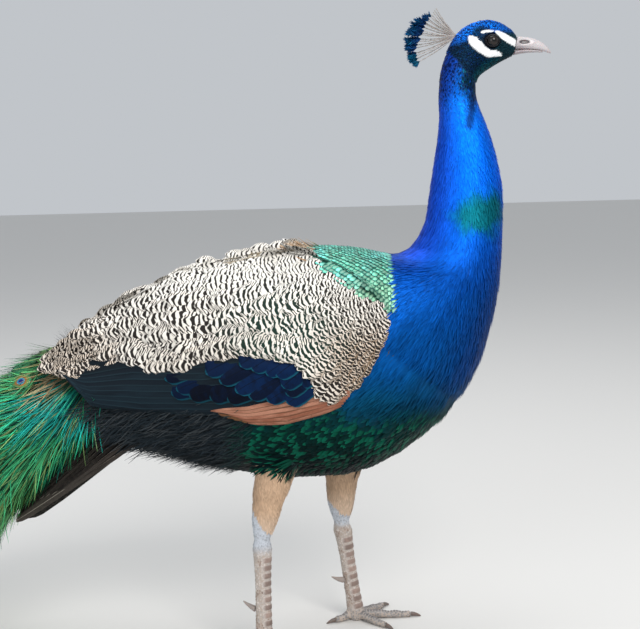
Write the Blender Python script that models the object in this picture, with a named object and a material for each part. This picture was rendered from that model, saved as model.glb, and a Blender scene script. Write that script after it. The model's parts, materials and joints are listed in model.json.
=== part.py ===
"""An adult male Indian peafowl, life size: it stands with its neck raised and its wings folded, and its train
runs down to the floor and lies along it.

The bird faces +X, its left side is +Y and it stands on z = 0. Lengths are metres. The body is one long form,
given by named stations from the bill to the rump, and each station is a slice with a back point, a front point
and a half width. The pieces of flesh are lengths of that form, the wings are shells that lie on it, and the
train and the tail fan are forms of their own.
"""

import math
from collections import namedtuple

import bmesh
import bpy
import numpy as np
from mathutils import Vector

# Driving dimensions.
STAND_X = 0.702  # from the middle of the whole length forward to the point between the feet
GAP = 0.0003  # clear space between neighbouring pieces
BED_CLEARANCE = 0.0017  # under a wing, so that the flat faces of its underside clear those of the body
TRIM = 0.0016  # how far a shell of the wing is trimmed back from the one over it
FLOOR_Z = 0.0

EYE_RADIUS = 0.0092
EYE_X, EYE_Z = 0.2375, 0.8222
EYE_DEPTH = 0.62  # part of the radius that the centre lies inside the head's side

SPUR_START = 0.0118  # from the axis of the shank to where the spur begins
TOE_BASE_RADIUS = 0.0046
TOE_RADIUS = 0.0060
TOE_START = 0.0138  # from the foot's axis to where a toe begins
CLAW_LENGTH = 0.015
# Share of the claw's length, half depth, half width.
CLAW_PROFILE = ((0.0, 0.0036, 0.0031), (0.35, 0.0031, 0.0025), (0.7, 0.0021, 0.0016), (1.0, 0.0008, 0.0007))
SPUR_LENGTH = 0.020
SPUR_HEIGHT = 0.060

CREST_ROOT_X, CREST_ROOT_Z = 0.191, 0.830
CREST_START = 0.0085
SHAFT_THICKNESS = 0.0016
TUFT_THICKNESS = 0.0100

# One slice of a form: its back and front points as (x, z), its half width, and how much narrower its back is.
Station = namedtuple("Station", "back front half_width egg")

BODY_STATIONS = (
    Station((0.2715, 0.8275), (0.2662, 0.8030), 0.0082, 0.10),  # base of the bill
    Station((0.2625, 0.8385), (0.2595, 0.7985), 0.0128, 0.14),
    Station((0.2500, 0.8465), (0.2510, 0.7945), 0.0168, 0.16),  # brow
    Station((0.2340, 0.8502), (0.2430, 0.7905), 0.0192, 0.16),
    Station((0.2140, 0.8475), (0.2330, 0.7850), 0.0202, 0.12),  # crown
    Station((0.1970, 0.8385), (0.2255, 0.7800), 0.0205, 0.08),
    Station((0.1840, 0.8235), (0.2195, 0.7740), 0.0206, 0.04),  # back of the head
    Station((0.1740, 0.8020), (0.2165, 0.7650), 0.0212, 0.00),
    Station((0.1675, 0.7790), (0.2165, 0.7540), 0.0225, 0.00),  # throat
    Station((0.1655, 0.7520), (0.2195, 0.7400), 0.0242, 0.00),
    Station((0.1660, 0.7220), (0.2285, 0.7180), 0.0270, 0.00),
    Station((0.1630, 0.6900), (0.2385, 0.6880), 0.0300, 0.00),
    Station((0.1570, 0.6550), (0.2470, 0.6550), 0.0332, 0.00),  # middle of the neck
    Station((0.1510, 0.6150), (0.2515, 0.6180), 0.0375, 0.00),
    Station((0.1440, 0.5800), (0.2510, 0.5820), 0.0430, 0.00),
    Station((0.1240, 0.5490), (0.2495, 0.5450), 0.0505, 0.00),  # root of the neck
    Station((0.0950, 0.5410), (0.2475, 0.5120), 0.0620, 0.00),
    Station((0.0600, 0.5495), (0.2430, 0.4780), 0.0745, 0.00),  # shoulders
    Station((0.0250, 0.5545), (0.2340, 0.4400), 0.0860, 0.00),
    Station((-0.0120, 0.5555), (0.2200, 0.3980), 0.0945, 0.00),  # breast
    Station((-0.0500, 0.5500), (0.1960, 0.3500), 0.0995, 0.00),
    Station((-0.0900, 0.5410), (0.1600, 0.3060), 0.1018, 0.00),
    Station((-0.1300, 0.5320), (0.1100, 0.2700), 0.1018, 0.00),  # middle of the trunk
    Station((-0.1700, 0.5200), (0.0550, 0.2430), 0.0995, 0.00),
    Station((-0.2100, 0.5040), (0.0000, 0.2370), 0.0950, 0.00),
    Station((-0.2450, 0.4860), (-0.0600, 0.2370), 0.0880, 0.00),  # belly
    Station((-0.2800, 0.4660), (-0.1200, 0.2490), 0.0800, 0.00),
    Station((-0.3100, 0.4490), (-0.1800, 0.2620), 0.0715, 0.00),
    Station((-0.3380, 0.4340), (-0.2400, 0.2850), 0.0640, 0.00),  # rump
)
HEAD_SPAN = (0.0, 6.6)
NECK_UPPER_SPAN = (6.6, 12.0)
NECK_LOWER_SPAN = (12.0, 15.5)
BREAST_SPAN = (15.5, 20.0)
TRUNK_SPAN = (20.0, 28.0)
TRUNK_RINGS, TRUNK_SIDES = 13, 26

# The wings lie on the body as far as the belly station, and then on these wider slices over the train.
WING_BED_STATIONS = BODY_STATIONS[:27] + (
    Station((-0.3150, 0.4530), (-0.1800, 0.2620), 0.0800, 0.00),
    Station((-0.3500, 0.4420), (-0.2400, 0.2850), 0.0800, 0.00),
    Station((-0.3900, 0.4300), (-0.3000, 0.3000), 0.0795, 0.00),
    Station((-0.4300, 0.4130), (-0.3500, 0.2800), 0.0780, 0.00),
)

TRAIN_STATIONS = (
    Station((-0.3380, 0.4340), (-0.2830, 0.3505), 0.0500, 0.00),
    Station((-0.3740, 0.4265), (-0.3255, 0.3015), 0.0620, 0.00),
    Station((-0.4120, 0.4065), (-0.3660, 0.2590), 0.0710, 0.00),
    Station((-0.4520, 0.3820), (-0.4080, 0.2170), 0.0780, 0.00),
    Station((-0.4950, 0.3530), (-0.4430, 0.1850), 0.0840, 0.00),
    Station((-0.5450, 0.3150), (-0.4780, 0.1300), 0.0900, 0.00),
    Station((-0.6000, 0.2720), (-0.5200, 0.0720), 0.0970, 0.00),
    Station((-0.6600, 0.2260), (-0.5800, 0.0150), 0.1040, 0.00),
    Station((-0.7300, 0.1800), (-0.6650, -0.0120), 0.1120, 0.00),
    Station((-0.8200, 0.1370), (-0.7800, -0.0120), 0.1200, 0.00),
    Station((-0.9300, 0.1100), (-0.9100, -0.0120), 0.1280, 0.00),
    Station((-1.0600, 0.0920), (-1.0500, -0.0120), 0.1340, 0.00),
    Station((-1.2000, 0.0790), (-1.2000, -0.0120), 0.1380, 0.00),
    Station((-1.3600, 0.0670), (-1.3600, -0.0120), 0.1360, 0.00),
    Station((-1.5000, 0.0550), (-1.5000, -0.0120), 0.1260, 0.00),
    Station((-1.6200, 0.0410), (-1.6200, -0.0100), 0.1040, 0.00),
    Station((-1.6900, 0.0270), (-1.6900, -0.0080), 0.0720, 0.00),
    Station((-1.7220, 0.0130), (-1.7220, -0.0040), 0.0350, 0.00),
)
# Each length of the train: its name, the stations it runs between and how many slices it has.
TRAIN_LENGTHS = (
    ("train_base", (0.0, 4.0), 6),
    ("train_fall", (4.0, 6.5), 5),
    ("train_bend", (6.5, 9.0), 5),
    ("train_middle", (9.0, 12.5), 6),
    ("train_end", (12.5, 17.0), 7),
)

TAIL_STATIONS = (
    Station((-0.2815, 0.3475), (-0.2440, 0.2905), 0.0400, 0.00),
    Station((-0.3225, 0.2960), (-0.2960, 0.2600), 0.0480, 0.00),
    Station((-0.3640, 0.2530), (-0.3450, 0.2300), 0.0550, 0.00),
    Station((-0.4060, 0.2110), (-0.3960, 0.1985), 0.0600, 0.00),
    Station((-0.4380, 0.1810), (-0.4340, 0.1750), 0.0610, 0.00),
)

UPPER_BILL_STATIONS = (
    Station((0.2720, 0.8275), (0.2681, 0.8096), 0.0082, 0.10),
    Station((0.2790, 0.8268), (0.2760, 0.8104), 0.0078, 0.12),
    Station((0.2875, 0.8255), (0.2850, 0.8103), 0.0069, 0.14),
    Station((0.2965, 0.8230), (0.2940, 0.8097), 0.0057, 0.14),
    Station((0.3045, 0.8190), (0.3020, 0.8086), 0.0043, 0.12),
    Station((0.3110, 0.8135), (0.3090, 0.8068), 0.0029, 0.08),
    Station((0.3150, 0.8085), (0.3138, 0.8050), 0.0016, 0.00),
    Station((0.3170, 0.8052), (0.3166, 0.8040), 0.0006, 0.00),
)
LOWER_BILL_STATIONS = (
    Station((0.2680, 0.8089), (0.2668, 0.8032), 0.0076, 0.00),
    Station((0.2760, 0.8098), (0.2765, 0.8050), 0.0066, 0.00),
    Station((0.2860, 0.8097), (0.2860, 0.8060), 0.0052, 0.00),
    Station((0.2950, 0.8090), (0.2950, 0.8062), 0.0038, 0.00),
    Station((0.3020, 0.8079), (0.3020, 0.8060), 0.0024, 0.00),
    Station((0.3060, 0.8069), (0.3060, 0.8059), 0.0011, 0.00),
)

# Edges of a folded wing seen from the side, as (x, z) from the shoulder to the tip.
SHOULDER_TO_TIP = (
    (0.0880, 0.4900), (0.0480, 0.5250), (-0.0120, 0.5450), (-0.0500, 0.5460), (-0.1300, 0.5280),
    (-0.2100, 0.4990), (-0.2800, 0.4600), (-0.3300, 0.4340), (-0.3640, 0.4160),
)
COVERTS_LOWER_EDGE = (
    (0.0930, 0.4760), (0.0880, 0.4480), (0.0720, 0.4120), (0.0500, 0.3800), (0.0200, 0.3670),
    (-0.0080, 0.3830), (-0.0300, 0.4180), (-0.0850, 0.4240), (-0.1600, 0.4140), (-0.2500, 0.4150),
    (-0.3250, 0.4020), (-0.3640, 0.4070),
)
QUILLS_UPPER_EDGE = (
    (0.0100, 0.3740), (-0.0020, 0.3900), (-0.0260, 0.4250), (-0.0850, 0.4310), (-0.1600, 0.4210),
    (-0.2500, 0.4220), (-0.3200, 0.4090), (-0.3480, 0.4110),
)
QUILLS_LOWER_EDGE = (
    (0.0060, 0.3675), (-0.0100, 0.3650), (-0.0500, 0.3570), (-0.0980, 0.3460), (-0.1540, 0.3470),
    (-0.2400, 0.3490), (-0.3060, 0.3620), (-0.3460, 0.3960),
)
PRIMARIES_UPPER_EDGE = (
    (0.0380, 0.3700), (0.0060, 0.3720), (-0.0500, 0.3620), (-0.0980, 0.3520), (-0.1400, 0.3500),
)
PRIMARIES_LOWER_EDGE = (
    (0.0280, 0.3545), (0.0000, 0.3430), (-0.0470, 0.3300), (-0.0980, 0.3290), (-0.1380, 0.3410),
)

# One foot: which side it is on, where its axis meets the floor, and where its hock and its thigh's top are.
Leg = namedtuple("Leg", "side foot hock thigh_top")
LEGS = (
    Leg(
        side="right",
        foot=Vector((-0.0880, -0.060, 0.0)),
        hock=Vector((-0.0875, -0.056, 0.156)),
        thigh_top=Vector((-0.0520, -0.046, 0.292)),
    ),
    Leg(
        side="left",
        foot=Vector((0.0430, 0.060, 0.0)),
        hock=Vector((0.0235, 0.056, 0.144)),
        thigh_top=Vector((0.0340, 0.046, 0.270)),
    ),
)

# One toe: its bearing away from straight ahead, positive outwards, its length with the claw, and its pads.
Toe = namedtuple("Toe", "name bearing length pads")
TOES = (
    Toe("middle", math.radians(2), 0.094, 3),
    Toe("inner", math.radians(-43), 0.070, 2),
    Toe("outer", math.radians(46), 0.072, 4),
    Toe("hallux", math.radians(-158), 0.048, 1),
)

# The pieces' colours, as linear red, green and blue, with roughness and metallic value.
Finish = namedtuple("Finish", "name colour roughness metallic")
BLUE = Finish("cobalt_neck", (0.004, 0.075, 0.62), 0.42, 0.25)
CROWN_BLUE = Finish("crown_blue", (0.006, 0.060, 0.40), 0.45, 0.25)
BREAST_BLUE = Finish("breast_blue", (0.004, 0.050, 0.30), 0.42, 0.25)
BELLY_GREEN = Finish("belly_green", (0.004, 0.040, 0.030), 0.50, 0.20)
BARRED = Finish("barred_cream", (0.46, 0.36, 0.24), 0.80, 0.0)
QUILL_BLACK = Finish("quill_blue_black", (0.006, 0.010, 0.026), 0.45, 0.15)
CHESTNUT = Finish("chestnut", (0.34, 0.11, 0.045), 0.65, 0.0)
TRAIN_GREEN = Finish("train_green", (0.012, 0.150, 0.060), 0.45, 0.30)
TAIL_BROWN = Finish("tail_brown", (0.045, 0.034, 0.028), 0.75, 0.0)
BUFF = Finish("thigh_buff", (0.52, 0.35, 0.20), 0.85, 0.0)
SCUTE_GREY = Finish("scute_grey", (0.36, 0.30, 0.26), 0.55, 0.0)
HORN = Finish("horn", (0.50, 0.42, 0.38), 0.40, 0.0)
CLAW_BROWN = Finish("claw_brown", (0.060, 0.040, 0.030), 0.40, 0.0)
EYE_BROWN = Finish("eye_brown", (0.016, 0.008, 0.005), 0.05, 0.0)
CREST_BLUE = Finish("crest_blue", (0.004, 0.060, 0.17), 0.55, 0.10)


def smooth_curve(points, places):
    """Points at these places, counted in rows, on a smooth curve through the rows of points."""
    rows = np.asarray(points, dtype=float)
    padded = np.vstack([2 * rows[0] - rows[1], rows, 2 * rows[-1] - rows[-2]])
    places = np.clip(np.atleast_1d(places), 0, len(rows) - 1)
    first = np.minimum(places.astype(int), len(rows) - 2)
    part = (places - first)[:, None]
    before, start, end, after = (padded[first + step] for step in range(4))
    return 0.5 * (
        2 * start
        + (end - before) * part
        + (2 * before - 5 * start + 4 * end - after) * part**2
        + (3 * start - before - 3 * end + after) * part**3
    )


class Form:
    """A long rounded shape through stations. A place on it is a station number and an angle from the back."""

    def __init__(self, stations):
        self.rows = np.array([[*row.back, *row.front, row.half_width, row.egg] for row in stations])

    def slice_at(self, station):
        """Back point, front point, half width and egg of the slice at a station number."""
        row = smooth_curve(self.rows, station)[0]
        return row[0:2], row[2:4], row[4], row[5]

    def point(self, station, angle):
        back, front, half_width, egg = self.slice_at(station)
        centre = (back + front) / 2
        x, z = centre + (back - front) / 2 * math.cos(angle)
        return Vector((x, half_width * math.sin(angle) * (1 - egg * math.cos(angle)), z))

    def slice_normal(self, station):
        """Unit vector across the slice, towards the higher station numbers."""
        back, front, _, _ = self.slice_at(station)
        across = back - front
        normal = Vector((across[1], 0, -across[0])).normalized()
        step = 0.01
        ahead = self.point(station + step, math.pi / 2) - self.point(station - step, math.pi / 2)
        return normal if normal.dot(ahead) > 0 else -normal

    def normal(self, station, angle):
        """Outward unit normal of the surface."""
        step = 0.01
        along = self.point(station + step, angle) - self.point(station - step, angle)
        around = self.point(station, angle + step) - self.point(station, angle - step)
        normal = along.cross(around).normalized()
        back, front, _, _ = self.slice_at(station)
        centre = (back + front) / 2
        outward = self.point(station, angle) - Vector((centre[0], 0, centre[1]))
        return normal if normal.dot(outward) > 0 else -normal

    def locate(self, x, z, low, high):
        """Station and angle, on the +Y side, of the surface point that has this x and z."""
        def side(station):
            back, front, _, _ = self.slice_at(station)
            return (back[0] - front[0]) * (z - front[1]) - (back[1] - front[1]) * (x - front[0])

        starts_positive = side(low) > 0
        for _ in range(40):
            middle = (low + high) / 2
            if (side(middle) > 0) == starts_positive:
                low = middle
            else:
                high = middle
        back, front, _, _ = self.slice_at(low)
        half = (back - front) / 2
        reach = np.dot(np.array([x, z]) - (back + front) / 2, half) / np.dot(half, half)
        return low, math.acos(min(1.0, max(-1.0, reach)))


BODY = Form(BODY_STATIONS)
WING_BED = Form(WING_BED_STATIONS)
TRAIN = Form(TRAIN_STATIONS)
TAIL = Form(TAIL_STATIONS)
WING_BED_REACH = (14.0, 29.9)
HEAD_SIDE_REACH = (0.0, 6.0)


def clear_scene():
    for thing in list(bpy.data.objects):
        bpy.data.objects.remove(thing, do_unlink=True)


def new_collection(name, hidden):
    group = bpy.data.collections.new(name)
    group.hide_render = hidden
    bpy.context.scene.collection.children.link(group)
    return group


def material_of(finish):
    found = bpy.data.materials.get(finish.name)
    if found:
        return found
    made = bpy.data.materials.new(finish.name)
    made.use_nodes = True
    shader = made.node_tree.nodes["Principled BSDF"]
    shader.inputs["Base Color"].default_value = (*finish.colour, 1)
    shader.inputs["Roughness"].default_value = finish.roughness
    shader.inputs["Metallic"].default_value = finish.metallic
    return made


class Bird:
    """The two collections and the empty that every piece hangs from."""

    def __init__(self):
        self.pieces = new_collection("peacock", hidden=False)
        self.cutters = new_collection("peacock_cutters", hidden=True)
        self.stand_point = bpy.data.objects.new("stand_point", None)
        self.stand_point.location = (STAND_X, 0, 0)
        self.pieces.objects.link(self.stand_point)

    def add(self, name, shape, finish):
        """A piece of the bird from a bmesh, which is closed and turned to face outwards."""
        bmesh.ops.recalc_face_normals(shape, faces=shape.faces)
        data = bpy.data.meshes.new(name)
        shape.to_mesh(data)
        shape.free()
        data.materials.append(material_of(finish))
        piece = bpy.data.objects.new(name, data)
        piece.parent = self.stand_point
        self.pieces.objects.link(piece)
        return piece

    def cut(self, piece, cutter):
        """Takes the cutter's shape out of the piece."""
        if cutter.name in self.pieces.objects:
            self.pieces.objects.unlink(cutter)
            self.cutters.objects.link(cutter)
            cutter.hide_render = True
            cutter.display_type = "WIRE"
        boolean = piece.modifiers.new("cut_" + cutter.name, "BOOLEAN")
        boolean.operation = "DIFFERENCE"
        boolean.solver = "EXACT"
        boolean.object = cutter


def loft(rings):
    """A closed bmesh through rings of equal length, with a flat cap on each end."""
    shape = bmesh.new()
    rows = [[shape.verts.new(point) for point in ring] for ring in rings]
    count = len(rows[0])
    for row, after in zip(rows, rows[1:]):
        for i in range(count):
            j = (i + 1) % count
            shape.faces.new((row[i], row[j], after[j], after[i]))
    shape.faces.new(rows[0])
    shape.faces.new(rows[-1])
    return shape


def on_floor(point, up=Vector((0, 0, 1))):
    """The point, or the one on the floor that lies along up from it when it is lower."""
    if point.z >= FLOOR_Z:
        return point
    lifted = point + up * ((FLOOR_Z - point.z) / up.z)
    return Vector((lifted.x, lifted.y, FLOOR_Z))


def form_ring(form, station, count, shift=0.0, grow=0.0):
    """Points round a slice, moved along the body by shift and outwards by grow."""
    up = form.point(station, 0) - form.point(station, math.pi)
    ring = []
    for i in range(count):
        angle = 2 * math.pi * i / count
        point = form.point(station, angle)
        if grow:
            point += form.normal(station, angle) * grow
        ring.append(on_floor(point + form.slice_normal(station) * shift, up))
    return ring


def form_length(form, span, rings, count, grow=0.0):
    """The length of a form between two stations, held back from both ends by half a gap."""
    first, last = span
    stations = np.linspace(first, last, rings)
    shifts = [GAP / 2] + [0.0] * (rings - 2) + [-GAP / 2]
    return loft([form_ring(form, at, count, shift, grow) for at, shift in zip(stations, shifts)])


def shell(columns, rows, outside, inside):
    """A closed bmesh between two sheets of points, each given by a function of column and row."""
    shape = bmesh.new()
    top = [[shape.verts.new(outside(i, j)) for j in range(rows)] for i in range(columns)]
    bottom = [[shape.verts.new(inside(i, j)) for j in range(rows)] for i in range(columns)]
    for i in range(columns - 1):
        for j in range(rows - 1):
            shape.faces.new((top[i][j], top[i + 1][j], top[i + 1][j + 1], top[i][j + 1]))
            shape.faces.new((bottom[i][j], bottom[i][j + 1], bottom[i + 1][j + 1], bottom[i + 1][j]))
    last_i, last_j = columns - 1, rows - 1
    for i in range(last_i):
        shape.faces.new((top[i][0], bottom[i][0], bottom[i + 1][0], top[i + 1][0]))
        shape.faces.new((top[i][last_j], top[i + 1][last_j], bottom[i + 1][last_j], bottom[i][last_j]))
    for j in range(last_j):
        shape.faces.new((top[0][j], top[0][j + 1], bottom[0][j + 1], bottom[0][j]))
        shape.faces.new((top[last_i][j], bottom[last_i][j], bottom[last_i][j + 1], top[last_i][j + 1]))
    return shape


def make_head_and_body(bird):
    head = bird.add("head", form_length(BODY, HEAD_SPAN, 12, 18), CROWN_BLUE)
    bird.add("neck_upper", form_length(BODY, NECK_UPPER_SPAN, 9, 18), BLUE)
    bird.add("neck_lower", form_length(BODY, NECK_LOWER_SPAN, 7, 22), BLUE)
    bird.add("breast", form_length(BODY, BREAST_SPAN, 10, 26), BREAST_BLUE)
    bird.add("trunk", form_length(BODY, TRUNK_SPAN, TRUNK_RINGS, TRUNK_SIDES), BELLY_GREEN)
    return head


def make_bill(bird):
    upper = Form(UPPER_BILL_STATIONS)
    lower = Form(LOWER_BILL_STATIONS)
    bird.add("bill_upper", form_length(upper, (0, len(UPPER_BILL_STATIONS) - 1), 11, 12), HORN)
    bird.add("bill_lower", form_length(lower, (0, len(LOWER_BILL_STATIONS) - 1), 7, 10), HORN)


def ball(centre, radius, segments, rings):
    shape = bmesh.new()
    bmesh.ops.create_uvsphere(shape, u_segments=segments, v_segments=rings, radius=radius)
    bmesh.ops.translate(shape, verts=shape.verts, vec=centre)
    return shape


def make_eyes(bird, head):
    """A ball on each side of the head, in a socket one gap wider."""
    station, angle = BODY.locate(EYE_X, EYE_Z, *HEAD_SIDE_REACH)
    surface = BODY.point(station, angle)
    outward = BODY.normal(station, angle)
    centre = surface - outward * EYE_RADIUS * EYE_DEPTH
    for side, sign in (("left", 1), ("right", -1)):
        place = Vector((centre.x, sign * centre.y, centre.z))
        bird.add("eye_" + side, ball(place, EYE_RADIUS, 16, 9), EYE_BROWN)
        socket = bird.add("eye_socket_" + side, ball(place, EYE_RADIUS + 2 * GAP, 16, 9), EYE_BROWN)
        bird.cut(head, socket)


def make_crest(bird):
    """The fan on the crown: a thin plate where the bare shafts are, thicker along the tufts at their ends."""
    columns, rows, feathers = 31, 5, 10
    top_bearing, low_bearing = math.radians(121), math.radians(213)
    reach = ((0.050,), (0.061,), (0.067,), (0.070,), (0.072,), (0.075,), (0.076,))

    def place(i, j, sign):
        across = i / (columns - 1)
        out = j / (rows - 1)
        bearing = top_bearing + (low_bearing - top_bearing) * across
        tip = smooth_curve(reach, across * (len(reach) - 1))[0][0]
        tip *= 1 + 0.035 * math.cos(2 * math.pi * feathers * across)
        distance = CREST_START + (tip - CREST_START) * out
        swell = math.sin(math.pi * min(1.0, max(0.0, (out - 0.55) / 0.5)))
        thickness = SHAFT_THICKNESS + (TUFT_THICKNESS - SHAFT_THICKNESS) * swell
        return Vector((
            CREST_ROOT_X + distance * math.cos(bearing),
            sign * thickness / 2,
            CREST_ROOT_Z + distance * math.sin(bearing),
        ))

    shape = shell(columns, rows, lambda i, j: place(i, j, 1), lambda i, j: place(i, j, -1))
    bird.add("crest", shape, CREST_BLUE)


class WingPatch:
    """Part of a folded wing: a shell on the wing bed between an upper and a lower edge seen from the side."""

    def __init__(self, upper_edge, lower_edge, edge_thickness, middle_thickness, grid, over_the_back=False):
        self.upper_edge = upper_edge
        self.lower_edge = lower_edge
        self.edge_thickness = edge_thickness
        self.middle_thickness = middle_thickness
        self.columns, self.rows = grid
        self.over_the_back = over_the_back

    def lower_point(self, along, margin):
        """A point on the lower edge, moved away from the patch by the margin."""
        place = along * (len(self.lower_edge) - 1)
        before, here, after = smooth_curve(self.lower_edge, [place - 0.05, place, place + 0.05])
        heading = (after - before) / np.linalg.norm(after - before)
        return here + margin * np.array([-heading[1], heading[0]])

    def place(self, along, down, outside, sign, margin):
        """A point at these shares of the way from shoulder to tip and from the upper edge to the lower."""
        top = smooth_curve(self.upper_edge, along * (len(self.upper_edge) - 1))[0]
        low = self.lower_point(along, margin)
        share = 1 - math.cos(down * math.pi / 2) if self.over_the_back else down
        x, z = top + (low - top) * share
        station, angle = WING_BED.locate(x, z, *WING_BED_REACH)
        fall = math.cos(math.pi / 2 * down) if self.over_the_back else math.sin(math.pi * down)
        swell = abs(math.sin(math.pi * along) * fall) ** 0.5
        thickness = self.edge_thickness + (self.middle_thickness - self.edge_thickness) * swell
        offset = BED_CLEARANCE + (thickness + margin if outside else -margin)
        point = WING_BED.point(station, angle) + WING_BED.normal(station, angle) * offset
        return Vector((point.x, sign * point.y, point.z))

    def build(self, sign, margin=0.0):
        """The shell. A margin widens it past its lower edge and both faces, which makes it a cutter."""
        along = np.linspace(0, 1, self.columns)
        down = np.linspace(0, 1, self.rows)
        return shell(
            self.columns,
            self.rows,
            lambda i, j: self.place(along[i], down[j], True, sign, margin),
            lambda i, j: self.place(along[i], down[j], False, sign, margin),
        )


def make_wings(bird):
    """Three shells a side. Each lower shell is trimmed back from the edge of those that lie over it."""
    coverts = WingPatch(SHOULDER_TO_TIP, COVERTS_LOWER_EDGE, 0.0040, 0.0150, (19, 8), over_the_back=True)
    quills = WingPatch(QUILLS_UPPER_EDGE, QUILLS_LOWER_EDGE, 0.0035, 0.0085, (12, 4))
    primaries = WingPatch(PRIMARIES_UPPER_EDGE, PRIMARIES_LOWER_EDGE, 0.0020, 0.0050, (9, 3))
    for side, sign in (("left", 1), ("right", -1)):
        bird.add("wing_coverts_" + side, coverts.build(sign), BARRED)
        secondaries = bird.add("wing_secondaries_" + side, quills.build(sign), QUILL_BLACK)
        primary_quills = bird.add("wing_primaries_" + side, primaries.build(sign), CHESTNUT)
        under_coverts = bird.add("under_coverts_" + side, coverts.build(sign, TRIM), BARRED)
        under_secondaries = bird.add("under_secondaries_" + side, quills.build(sign, TRIM), QUILL_BLACK)
        bird.cut(secondaries, under_coverts)
        bird.cut(primary_quills, under_coverts)
        bird.cut(primary_quills, under_secondaries)


def make_train_and_tail(bird):
    for name, span, slices in TRAIN_LENGTHS:
        bird.add(name, form_length(TRAIN, span, slices, 20), TRAIN_GREEN)
    bird.add("tail_rectrices", form_length(TAIL, (0, len(TAIL_STATIONS) - 1), 7, 16), TAIL_BROWN)


def tube_ring(centre, forward, half_depth, half_width, count):
    """An oval ring square to forward, half_width level across it and half_depth square to that."""
    level = Vector((0, 0, 1)).cross(forward)
    if level.length < 0.2:
        level = Vector((0, 1, 0))
    level.normalize()
    upright = forward.cross(level).normalized()
    ring = []
    for i in range(count):
        angle = 2 * math.pi * i / count
        point = centre + upright * half_depth * math.cos(angle) + level * half_width * math.sin(angle)
        ring.append(on_floor(point))
    return ring


def flat_oval(centre, half_depth, half_width, count):
    """A level oval ring, half_depth along X and half_width along Y."""
    ring = []
    for i in range(count):
        angle = 2 * math.pi * i / count
        ring.append(centre + Vector((half_depth * math.cos(angle), half_width * math.sin(angle), 0)))
    return ring


def make_thigh(bird, leg, belly):
    """The feathered lower thigh, which rises into the belly's surface and ends just above the hock."""
    profile = (  # share of the way down, half depth, half width
        (0.00, 0.034, 0.027), (0.30, 0.0275, 0.0245), (0.55, 0.0240, 0.0205), (0.75, 0.0212, 0.0170),
        (0.90, 0.0155, 0.0130), (0.97, 0.0122, 0.0107),
    )
    back_swing = 0.004
    rings = []
    for share, half_depth, half_width in profile:
        centre = leg.thigh_top.lerp(leg.hock, share)
        centre.x -= back_swing * math.sin(math.pi * share)
        rings.append(flat_oval(centre, half_depth, half_width, 16))
    thigh = bird.add("thigh_" + leg.side, loft(rings), BUFF)
    bird.cut(thigh, belly)


def make_tarsus(bird, leg):
    """The scaled shank from the hock down to the pad that the toes spread from."""
    profile = (  # share of the way down, half depth, half width
        (0.00, 0.0118, 0.0100), (0.07, 0.0135, 0.0110), (0.16, 0.0118, 0.0088), (0.35, 0.0104, 0.0074),
        (0.60, 0.0104, 0.0072), (0.80, 0.0112, 0.0080), (0.90, 0.0122, 0.0098), (0.97, 0.0118, 0.0104),
        (1.00, 0.0096, 0.0084),
    )
    top = leg.thigh_top.lerp(leg.hock, 0.97) - Vector((0, 0, GAP))
    rings = [
        flat_oval(top.lerp(leg.foot, share), half_depth, half_width, 12)
        for share, half_depth, half_width in profile
    ]
    bird.add("tarsus_" + leg.side, loft(rings), SCUTE_GREY)


def make_spur(bird, leg, outward):
    """A cone on the inner rear of the shank."""
    share = 1 - SPUR_HEIGHT / leg.hock.z
    axis = leg.hock.lerp(leg.foot, share)
    bearing = Vector((-0.86, -0.46 * outward, 0.22)).normalized()
    start = axis + bearing * (SPUR_START + 2 * GAP)
    rings = []
    for part, radius in ((0.0, 0.0044), (0.35, 0.0034), (0.7, 0.0020), (1.0, 0.0007)):
        centre = start + bearing * SPUR_LENGTH * part + Vector((0, 0, 0.004 * part * part))
        rings.append(tube_ring(centre, bearing, radius, radius, 8))
    bird.add("spur_" + leg.side, loft(rings), HORN)


def make_toe(bird, leg, toe, outward):
    """A toe with a swelling over each pad, and the claw that goes on from it."""
    forward = Vector((math.cos(toe.bearing), outward * math.sin(toe.bearing), 0))
    toe_end = toe.length - CLAW_LENGTH
    rings = []
    steps = 7
    for i in range(steps):
        share = i / (steps - 1)
        distance = TOE_START + (toe_end - TOE_START) * share
        swell = 1 + 0.09 * math.cos(2 * math.pi * toe.pads * share)
        taper = 1 - 0.26 * share
        grown = min(1.0, TOE_BASE_RADIUS / TOE_RADIUS + 2.2 * share)
        radius = TOE_RADIUS * taper * grown * swell
        height = radius * 0.94 + 0.0035 * (1 - share) ** 3
        centre = leg.foot + forward * distance + Vector((0, 0, height))
        rings.append(tube_ring(centre, forward, radius, radius, 8))
    name = "toe_{}_{}".format(leg.side, toe.name)
    bird.add(name, loft(rings), SCUTE_GREY)

    claw = []
    for share, half_depth, half_width in CLAW_PROFILE:
        distance = toe_end + GAP + CLAW_LENGTH * share
        height = 0.0044 + 0.0010 * math.sin(math.pi * share) - 0.0034 * share
        centre = leg.foot + forward * distance + Vector((0, 0, height))
        claw.append(tube_ring(centre, forward, half_depth, half_width, 7))
    bird.add(name.replace("toe", "claw"), loft(claw), CLAW_BROWN)


def make_legs(bird):
    grown_trunk = form_length(BODY, TRUNK_SPAN, TRUNK_RINGS, TRUNK_SIDES, grow=2 * GAP)
    belly = bird.add("belly_cutter", grown_trunk, BELLY_GREEN)
    for leg in LEGS:
        outward = 1 if leg.side == "left" else -1
        make_thigh(bird, leg, belly)
        make_tarsus(bird, leg)
        make_spur(bird, leg, outward)
        for toe in TOES:
            make_toe(bird, leg, toe, outward)


def main():
    clear_scene()
    bird = Bird()
    head = make_head_and_body(bird)
    make_bill(bird)
    make_eyes(bird, head)
    make_crest(bird)
    make_wings(bird)
    make_train_and_tail(bird)
    make_legs(bird)


main()
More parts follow.
